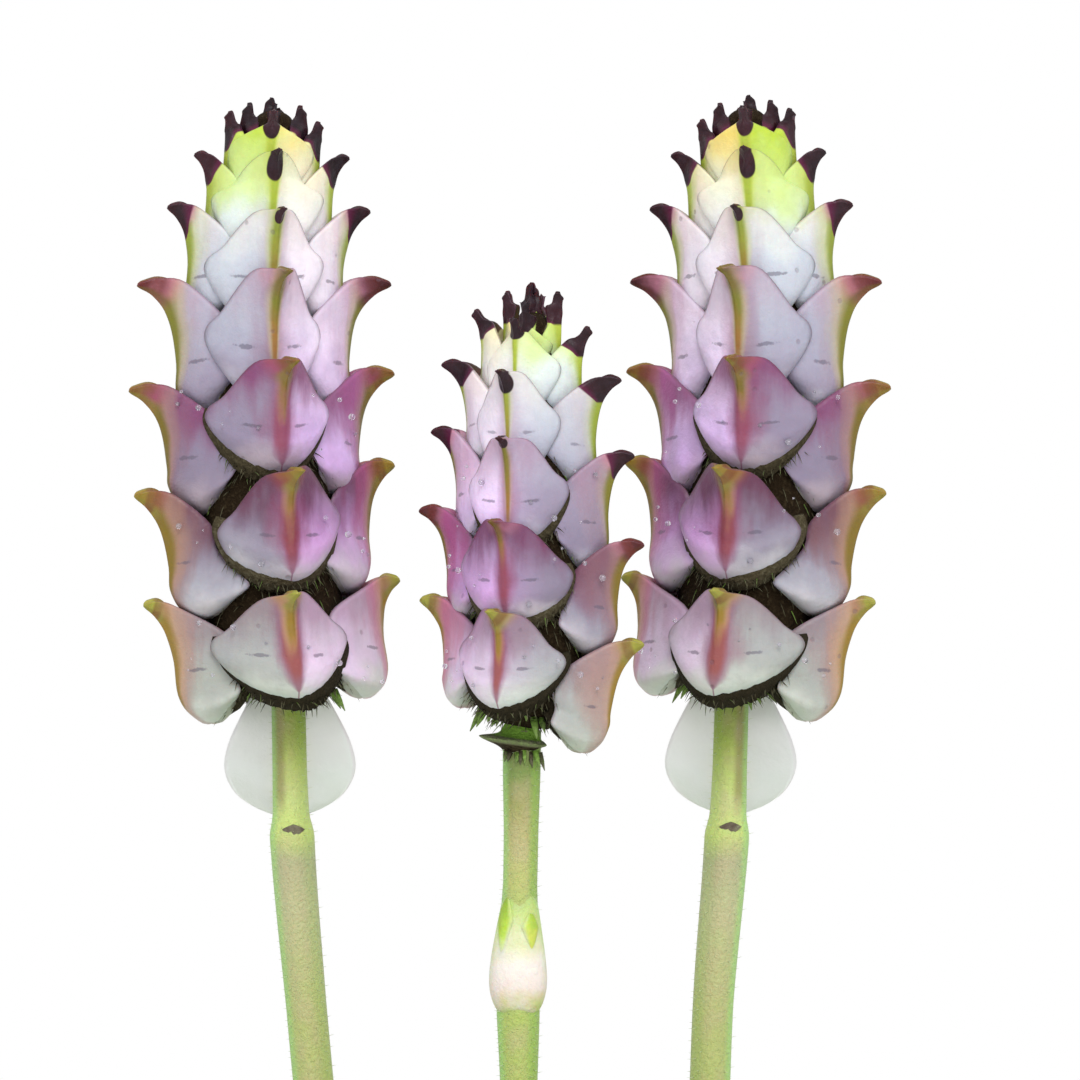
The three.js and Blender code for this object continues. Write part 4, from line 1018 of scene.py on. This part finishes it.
def leafSkin(root, heading, rise, droop, length, roll=0.0, look=0, tone=0.5):
    # The midrib is an arc that starts at the rise and bends down by the droop. The blade is widest past its
    # middle, its margins are scalloped, and both halves fold up. Its top sinks along the side veins.
    shape = leafShape
    share = np.linspace(0, 1, shape["rows"])[:, None] ** 0.92
    start, bend = radians(rise), radians(droop)
    angle = start - bend * share
    reach = length * (np.sin(start) - np.sin(angle)) / bend
    climb = length * (np.cos(angle) - np.cos(start)) / bend
    blade = np.clip((share - shape["petiole"]) / (1 - shape["petiole"]), 0, 1)
    rounded = np.sqrt(np.clip(1 - (2 * blade**1.15 - 1) ** 2, 0, 1)) ** 0.9
    notch = 1 - np.abs(np.sin(pi * shape["teeth"] * blade))
    scallop = 1 - shape["toothDepth"] * notch * ease(blade, 0.1, 0.3)
    stalkHalf = shape["petioleRadius"] * (1 - 0.6 * blade)
    half = np.maximum(length * shape["widthShare"] * rounded / 2 * scallop, stalkHalf)
    v = np.linspace(-1, 1, shape["columns"])
    v = np.concatenate([v, v[::-1][1:-1]])
    above = np.where(np.arange(len(v)) < shape["columns"], 1, -1)
    opened = ease(blade, 0.0, 0.1)
    thin, thick = shape["marginThickness"], shape["midThickness"]
    thick = (thin + (thick - thin) * (1 - np.abs(v)) ** 1.5) * (1 - 0.55 * ease(blade, 0.7, 1.0))
    stalkThick = shape["petioleRadius"] * np.sqrt(np.clip(1 - v**2, 0, 1))
    side = above * np.sqrt(np.clip(1 - v**8, 0, 1)) * (opened * thick / 2 + (1 - opened) * stalkThick)
    veinAt = np.sin(2 * pi * (blade * shape["veins"] - np.abs(v) * shape["veinSlant"]))
    quilt = shape["quilt"] * opened * (0.5 * veinAt - 0.7 * np.exp(-((v / 0.09) ** 2))) * (1 - v**4) * rounded
    wave = shape["wave"] * half * np.sin(7 * blade + 3 * v) * np.abs(v) * opened
    lift = shape["fold"] * half * np.abs(v) ** 1.4 * opened + side + quilt + wave
    tilt = radians(roll) * share
    forward, sidewards = polar(1, radians(heading), 0), polar(1, radians(heading) + pi / 2, 0)
    upward = np.array([0, 0, 1.0])
    normalFlat = -np.sin(angle) * forward + np.cos(angle) * upward
    across = np.cos(tilt) * sidewards + np.sin(tilt) * normalFlat
    normal = np.cos(tilt) * normalFlat - np.sin(tilt) * sidewards
    middle = np.asarray(root) + reach * forward + climb * upward
    points = middle[:, None] + across[:, None] * (half * v)[..., None] + normal[:, None] * lift[..., None]
    return skin(points, look, along=blade, across=v, under=above < 0, leaf=1.0, tone=tone)


def leafLook():
    look, tree = newLook("velvetLeaf", Roughness=0.6, Sheen_Weight=0.18, Sheen_Roughness=0.4,
                         Subsurface_Weight=0.08, Subsurface_Scale=0.001)
    along, across, under, tone = fields(tree, "along across under tone")
    cloud, grain = mottle(tree, 160.0)
    side = abs(across)
    wave = along * leafShape["veins"] - side * leafShape["veinSlant"] + cloud * 0.12
    valley = abs(maths("FRACT", wave) - 0.75)
    vein = maths("MAXIMUM", band(valley, 0.09, 0.02), band(side, 0.06, 0.015)) * band(side, 0.98, 0.7)
    base = painted(
        mixed(cloud, "#48702a", "#6a983e"),
        (tone * 0.6, "#82ae4c"),
        (band(side, 0.82, 1.0) * 0.5, "#98c062"),
        (under * 0.6, "#9ab47c"),
        (vein * 0.42, "#a4c072"),
        (grain * 0.2, "#8fb070"))
    return finishLook(look, base, grain - vein * 0.8, 0.0002, grain * 0.15 + 0.5)


def makeFlowerStem():
    skins = [one for name in flowerStem["paths"] for one in stemSkins(name)]
    skins += [scarSkin(name) for name in flowerStem["scars"]] + budSkins() + collarSkins()
    for root, heading, length, rise, droop in flowerStem["leaves"]:
        skins += [leafSkin(root, heading + turn, rise, droop, length, look=4, tone=0.6) for turn in (0, 180)]
    looks = [hairyStem, leafScar, sideBud, driedCalyxAndShade, velvetLeaf]
    makePiece("flowerStem", skins, looks, "flowering_stem")


hairyStem = stemLook()
leafScar = plainLook("leafScar", 1500.0, "#6f5f52", "#8f8870", 0.0001, Roughness=0.85)
sideBud = budLook()
velvetLeaf = leafLook()
makeFlowerStem()


# Leafy shoots

uprightShoot = {
    "count": 6, "firstAngle": 30, "stretch": 0.05, "bendHeight": 86,
    # out, up and radius of the stalk, and each pair's share of it, length, rise and droop
    "stalk": [[23, 62.4, 2.4], [23, 80, 2.3], [29, 108, 2.0], [38, 138, 1.7], [43, 162, 1.2]],
    "pairs": [[0.52, 37, 10, 58], [0.68, 40, 18, 74], [0.84, 36, 34, 80], [0.97, 22, 58, 50]],
    "shift": 0.06, "turn": 48, "innerRise": 22, "innerShare": 0.62, "roll": 8,
}
lowShoot = {
    "count": 6, "firstAngle": 0,
    "stalk": [[38, 62.4, 2.2], [38, 76, 2.1], [45, 90, 1.9], [58, 96, 1.6], [73, 92, 1.0]],
    "pairs": [[0.57, 31, 20, 60], [0.77, 35, 34, 84], [0.96, 24, 10, 60]],
    "sweep": [64, 46, 30], "roll": 10,
}
shootTip = {"leaves": 4, "length": 5.0, "shorter": 0.2, "rise": 68, "droop": 20, "turn": 40, "sink": 0.6,
            "tone": 0.95}
shootRows = 61


def makeShoot(name, node, stalk, facing, leaves, tone):
    # A tube along the stalk, leaves at their shares of its length, and a whorl of small ones at the tip
    angle = radians(facing)
    out, up, radius = np.array(stalk).T
    path = throughPoints(polar(out, angle, up), shootRows)
    radius = throughPoints(np.array(stalk), shootRows)[:, 2]
    across = polar(1, angle + pi / 2, 0)
    skins = [skin(tube(path, radius, 12, across), look=1, leaf=0.0, tone=tone, hair=0.0)]
    for share, heading, rise, droop, length, roll in leaves:
        root = [np.interp(share, np.linspace(0, 1, shootRows), path[:, k]) for k in range(3)]
        skins.append(leafSkin(root, heading, rise, droop, length, roll, tone=tone))
    for k in range(shootTip["leaves"]):
        heading = facing + shootTip["turn"] + k * 360 / shootTip["leaves"]
        length = shootTip["length"] * (1 - shootTip["shorter"] * (k % 2))
        root = path[-1] - [0, 0, shootTip["sink"]]
        rise, droop, tipTone = (shootTip[name] for name in ("rise", "droop", "tone"))
        skins.append(leafSkin(root, heading, rise, droop, length, tone=tipTone))
    makePiece(name, skins, [velvetLeaf, hairyStem], node)


for number in range(uprightShoot["count"]):
    shape = uprightShoot
    facing = shape["firstAngle"] + number * 360 / shape["count"]
    leaves = []
    for k, (at, length, rise, droop) in enumerate(shape["pairs"]):
        share = at + (number % 2) * shape["shift"] * (k < 3)
        heading = facing + shape["turn"] * (-1 if k % 2 else 1)
        roll = shape["roll"] * spread(number * 7 + k)
        inner = [share, heading + 180, rise + shape["innerRise"], droop, length * shape["innerShare"], roll]
        leaves += [[share, heading, rise, droop, length, roll], inner]
    # the part above the bend is stretched a little, by another share on each shoot
    bend, stretch = shape["bendHeight"], shape["stretch"] * spread(number + 1)
    stalk = [[out, up + max(up - bend, 0) * stretch, radius] for out, up, radius in shape["stalk"]]
    makeShoot(f"uprightShoot{number + 1}", f"upright_shoot_{number + 1}", stalk, facing, leaves,
              0.45 + 0.25 * spread(number * 3))
for number in range(lowShoot["count"]):
    shape = lowShoot
    facing = shape["firstAngle"] + number * 360 / shape["count"]
    leaves = [[at, facing + side * sweep, rise, droop, length, shape["roll"] * spread(number * 5 + k + side)]
              for k, ((at, length, rise, droop), sweep) in enumerate(zip(shape["pairs"], shape["sweep"]))
              for side in (-1, 1)]
    makeShoot(f"lowShoot{number + 1}", f"low_shoot_{number + 1}", shape["stalk"], facing, leaves,
              0.35 + 0.25 * spread(number * 3 + 1))


# Pot and soil

potShape = {
    "profile": [  # radius, height: up the outside, over the rim and down the inside
        [1.2, 0.4], [35.2, 0.4], [36.0, 0.0], [37.0, 1.2], [49.3, 64.2], [49.9, 65.0], [52.3, 65.0],
        [53.4, 66.3], [55.3, 83.6], [54.6, 85.7], [53.3, 86.0], [51.8, 85.7], [51.0, 84.0], [46.0, 61.0],
        [33.6, 8.0], [31.0, 6.0], [1.2, 6.0]],
    "round": 0.9, "step": 3.2, "sides": 144, "wobble": 0.0024, "crease": 50,
    "drain": {"count": 3, "radius": 3.5, "ring": 19, "firstAngle": 90, "heights": [-3, 2, 9], "sides": 32},
    "bloomTop": 0.03, "latheLines": 4200.0,  # height in metres of the pale foot, and radians a metre
}


def roundedProfile(shape):
    # Each corner becomes a quadratic curve up to the round long on either side; straight runs get points a
    # step apart
    points = np.array(shape["profile"])
    rows = [points[0]]
    for before, corner, after in zip(points, points[1:], points[2:]):
        ends = [corner + (other - corner) * min(shape["round"] / np.linalg.norm(other - corner), 0.45)
                for other in (before, after)]
        run = max(int(np.linalg.norm(ends[0] - rows[-1]) / shape["step"]), 1)
        rows += [rows[-1] + (ends[0] - rows[-1]) * k / run for k in range(1, run)]
        rows += [ends[0] * (1 - u)**2 + corner * 2 * u * (1 - u) + ends[1] * u**2
                 for u in (0.0, 0.33, 0.67, 1.0)]
    run = int(np.linalg.norm(points[-1] - rows[-1]) / shape["step"])
    rows += [rows[-1] + (points[-1] - rows[-1]) * k / run for k in range(1, run + 1)]
    radius, up = np.array(rows).T[..., None]
    return polar(radius, turns(shape["sides"]), up)


def makePot():
    # The profile carried round the axis, out of round by a sine of twice the angle, with drilled drain holes
    shape, drain = potShape, potShape["drain"]
    points = roundedProfile(shape)
    a = np.arctan2(points[..., 1], points[..., 0])
    points[..., :2] *= (1 + shape["wobble"] * np.sin(2 * a + 1))[..., None]
    inside = np.arange(len(points)) > points[:, 0, 2].argmax()
    skins = [skin(points, inside=inside[:, None])]
    pot = makePiece("clayPot", skins, [claySurface], "pot", shape["crease"])
    drills = [skin(tube(polar(drain["ring"], turn + radians(drain["firstAngle"]), np.array(drain["heights"])),
                        drain["radius"], drain["sides"])) for turn in turns(drain["count"])]
    cutter = makePiece("drainDrills", drills, [claySurface])
    cut = pot.modifiers.new("drain", "BOOLEAN")
    cut.operation, cut.solver, cut.object = "DIFFERENCE", "EXACT", cutter
    mesh = bpy.data.meshes.new_from_object(pot.evaluated_get(bpy.context.evaluated_depsgraph_get()))
    pot.modifiers.clear()
    old, pot.data = pot.data, mesh
    bpy.data.objects.remove(cutter)
    bpy.data.meshes.remove(old)
    mesh.name = "pot"


def clayLook():
    look, tree = newLook("terracotta", Roughness=0.85)
    inside, = fields(tree, "inside")
    up = put(tree, "SeparateXYZ", {"Vector": objectPlace(tree)}, "Z")
    cloud, _ = mottle(tree, 22.0)
    fine, pores = mottle(tree, 240.0)
    base = painted(
        mixed(cloud, "#a75c3c", "#c17a55"),
        (fine * 0.4, "#d39a78"),
        (band(up, potShape["bloomTop"], 0.0) * band(cloud, 0.35, 0.75) * 0.55, "#dcc6b2"),
        (pores * 0.3, "#7f4129"),
        (inside * 0.4, "#5d3a2a"))
    lathe = maths("SINE", up * potShape["latheLines"] + cloud * 3.0)
    return finishLook(look, base, lathe * 0.12 - pores * 0.8, 0.0003)


soilShape = {
    "profile": [  # radius, height
        [1.2, 6.3], [30.8, 6.3], [33.4, 8.2], [45.5, 61.2], [48.3, 71.6], [47.4, 72.8], [36.0, 74.4],
        [24.0, 75.9], [10.0, 76.7], [1.2, 77.0]],
    "top": [[0, 77], [10, 76.7], [24, 75.9], [36, 74.4], [48, 72.8]],  # where the crumbs lie
    "round": 1.0, "step": 2.0, "sides": 120, "relief": 0.55,
    "crumbs": 1000, "ring": 46.0, "largest": 1.75, "crumbRows": 4, "crumbSides": 6, "perlite": 0.06,
}


def makeSoil():
    # The profile carried round the axis, its top wavy by crossing sines of x and y. The crumbs lie on it in
    # a sunflower pattern: radius by the root of their number, each a golden turn from the last.
    shape = soilShape
    crumbRows, crumbSides = shape["crumbRows"], shape["crumbSides"]
    points = roundedProfile(shape)
    x, y, up = (points[..., k] for k in range(3))
    bumps = np.sin(0.9 * x + 1.3 * y) + np.sin(1.7 * y - 0.7 * x + 2)
    bumps = bumps + np.sin(2.9 * x + 0.4) * np.sin(2.3 * y + 1.1)
    points[..., 2] += shape["relief"] / 3 * bumps * ease(up, 72, 73.5)
    count = np.arange(shape["crumbs"])
    radius = shape["ring"] * np.sqrt((count + 0.5) / len(count))
    height = np.interp(radius, *np.array(shape["top"]).T)
    middle = polar(radius, count * goldenTurn + 0.5 * spread(count), height)
    size = shape["largest"] * (0.25 + 0.75 * lot(count * 3) ** 3) / 1.6
    each, grid = count[:, None, None], np.arange(crumbRows * crumbSides).reshape(crumbRows, crumbSides)
    rough = 1 + 0.25 * spread(each * 31 + grid * 7)
    flat = ball(crumbRows, crumbSides, 0.35) * [1, 1, 0.75]
    lumps = middle[:, None, None] + flat * (size[:, None, None] * rough)[..., None]
    white = spread(each * 11) > 1 - 2 * shape["perlite"]
    skins = [skin(points, tone=0.4), skin(lumps, white=white, tone=lot(each * 13))]
    makePiece("pottingSoil", skins, [soilSurface], "soil")


def soilLook():
    look, tree = newLook("pottingSoil", Roughness=0.95)
    tone, white = fields(tree, "tone white")
    cloud, grain = mottle(tree, 260.0)
    base = painted(mixed(cloud, "#33241b", "#5a4332"), (tone * 0.5, "#6f573f"), (grain * 0.4, "#241a14"),
                   (white, "#d9d4c8"))
    return finishLook(look, base, grain, 0.0006)


claySurface, soilSurface = clayLook(), soilLook()
makePot()
makeSoil()


# Camera, light and floor

cameraPlace = {"x": 1.46, "distance": 450, "height": 235.9, "frameWidth": 83.1, "sensor": 36}
stageSize = {"floor": 1600, "keyPower": 13.0, "keyPlace": [0.1, -1.1, 1.2], "keySize": 0.7, "sky": 0.8}


def placed(name, data):
    made = bpy.data.objects.new(name, data)
    bpy.context.scene.collection.objects.link(made)
    return made


def makeCamera():
    made = bpy.data.cameras.new("photoCamera")
    made.sensor_width = cameraPlace["sensor"]
    made.lens = cameraPlace["sensor"] * cameraPlace["distance"] / cameraPlace["frameWidth"]
    made.clip_start = 0.01
    camera = placed("photoCamera", made)
    camera.location = (cameraPlace["x"] * mm, -cameraPlace["distance"] * mm, cameraPlace["height"] * mm)
    camera.rotation_euler = (radians(90), 0, 0)
    bpy.context.scene.camera = camera


def makeStage():
    half = stageSize["floor"] * mm
    mesh = bpy.data.meshes.new("floor")
    corners = [(-half, -half, 0), (half, -half, 0), (half, half, 0), (-half, half, 0)]
    mesh.from_pydata(corners, [], [(0, 1, 2, 3)])
    mesh.materials.append(plainLook("paleFloor", 3.0, "#f4f4f2", "#efefed", 0.0001, Roughness=0.9))
    placed("floor", mesh)
    sky = bpy.data.worlds.new("whiteSky")
    sky.use_nodes = True
    background = sky.node_tree.nodes["Background"].inputs
    background["Color"].default_value = (1, 1, 1, 1)
    seen = put(sky.node_tree, "LightPath", None, "Is Camera Ray")
    connect(seen * (1 - stageSize["sky"]) + stageSize["sky"], background["Strength"])
    bpy.context.scene.world = sky
    lamp = bpy.data.lights.new("softKey", "AREA")
    lamp.energy, lamp.size = stageSize["keyPower"], stageSize["keySize"]
    key = placed("softKey", lamp)
    key.location = stageSize["keyPlace"]
    key.rotation_euler = (-key.location).to_track_quat("-Z", "Y").to_euler()
    bpy.context.scene.view_settings.view_transform = "Standard"


makeCamera()
makeStage()
print("camera, light and floor set")
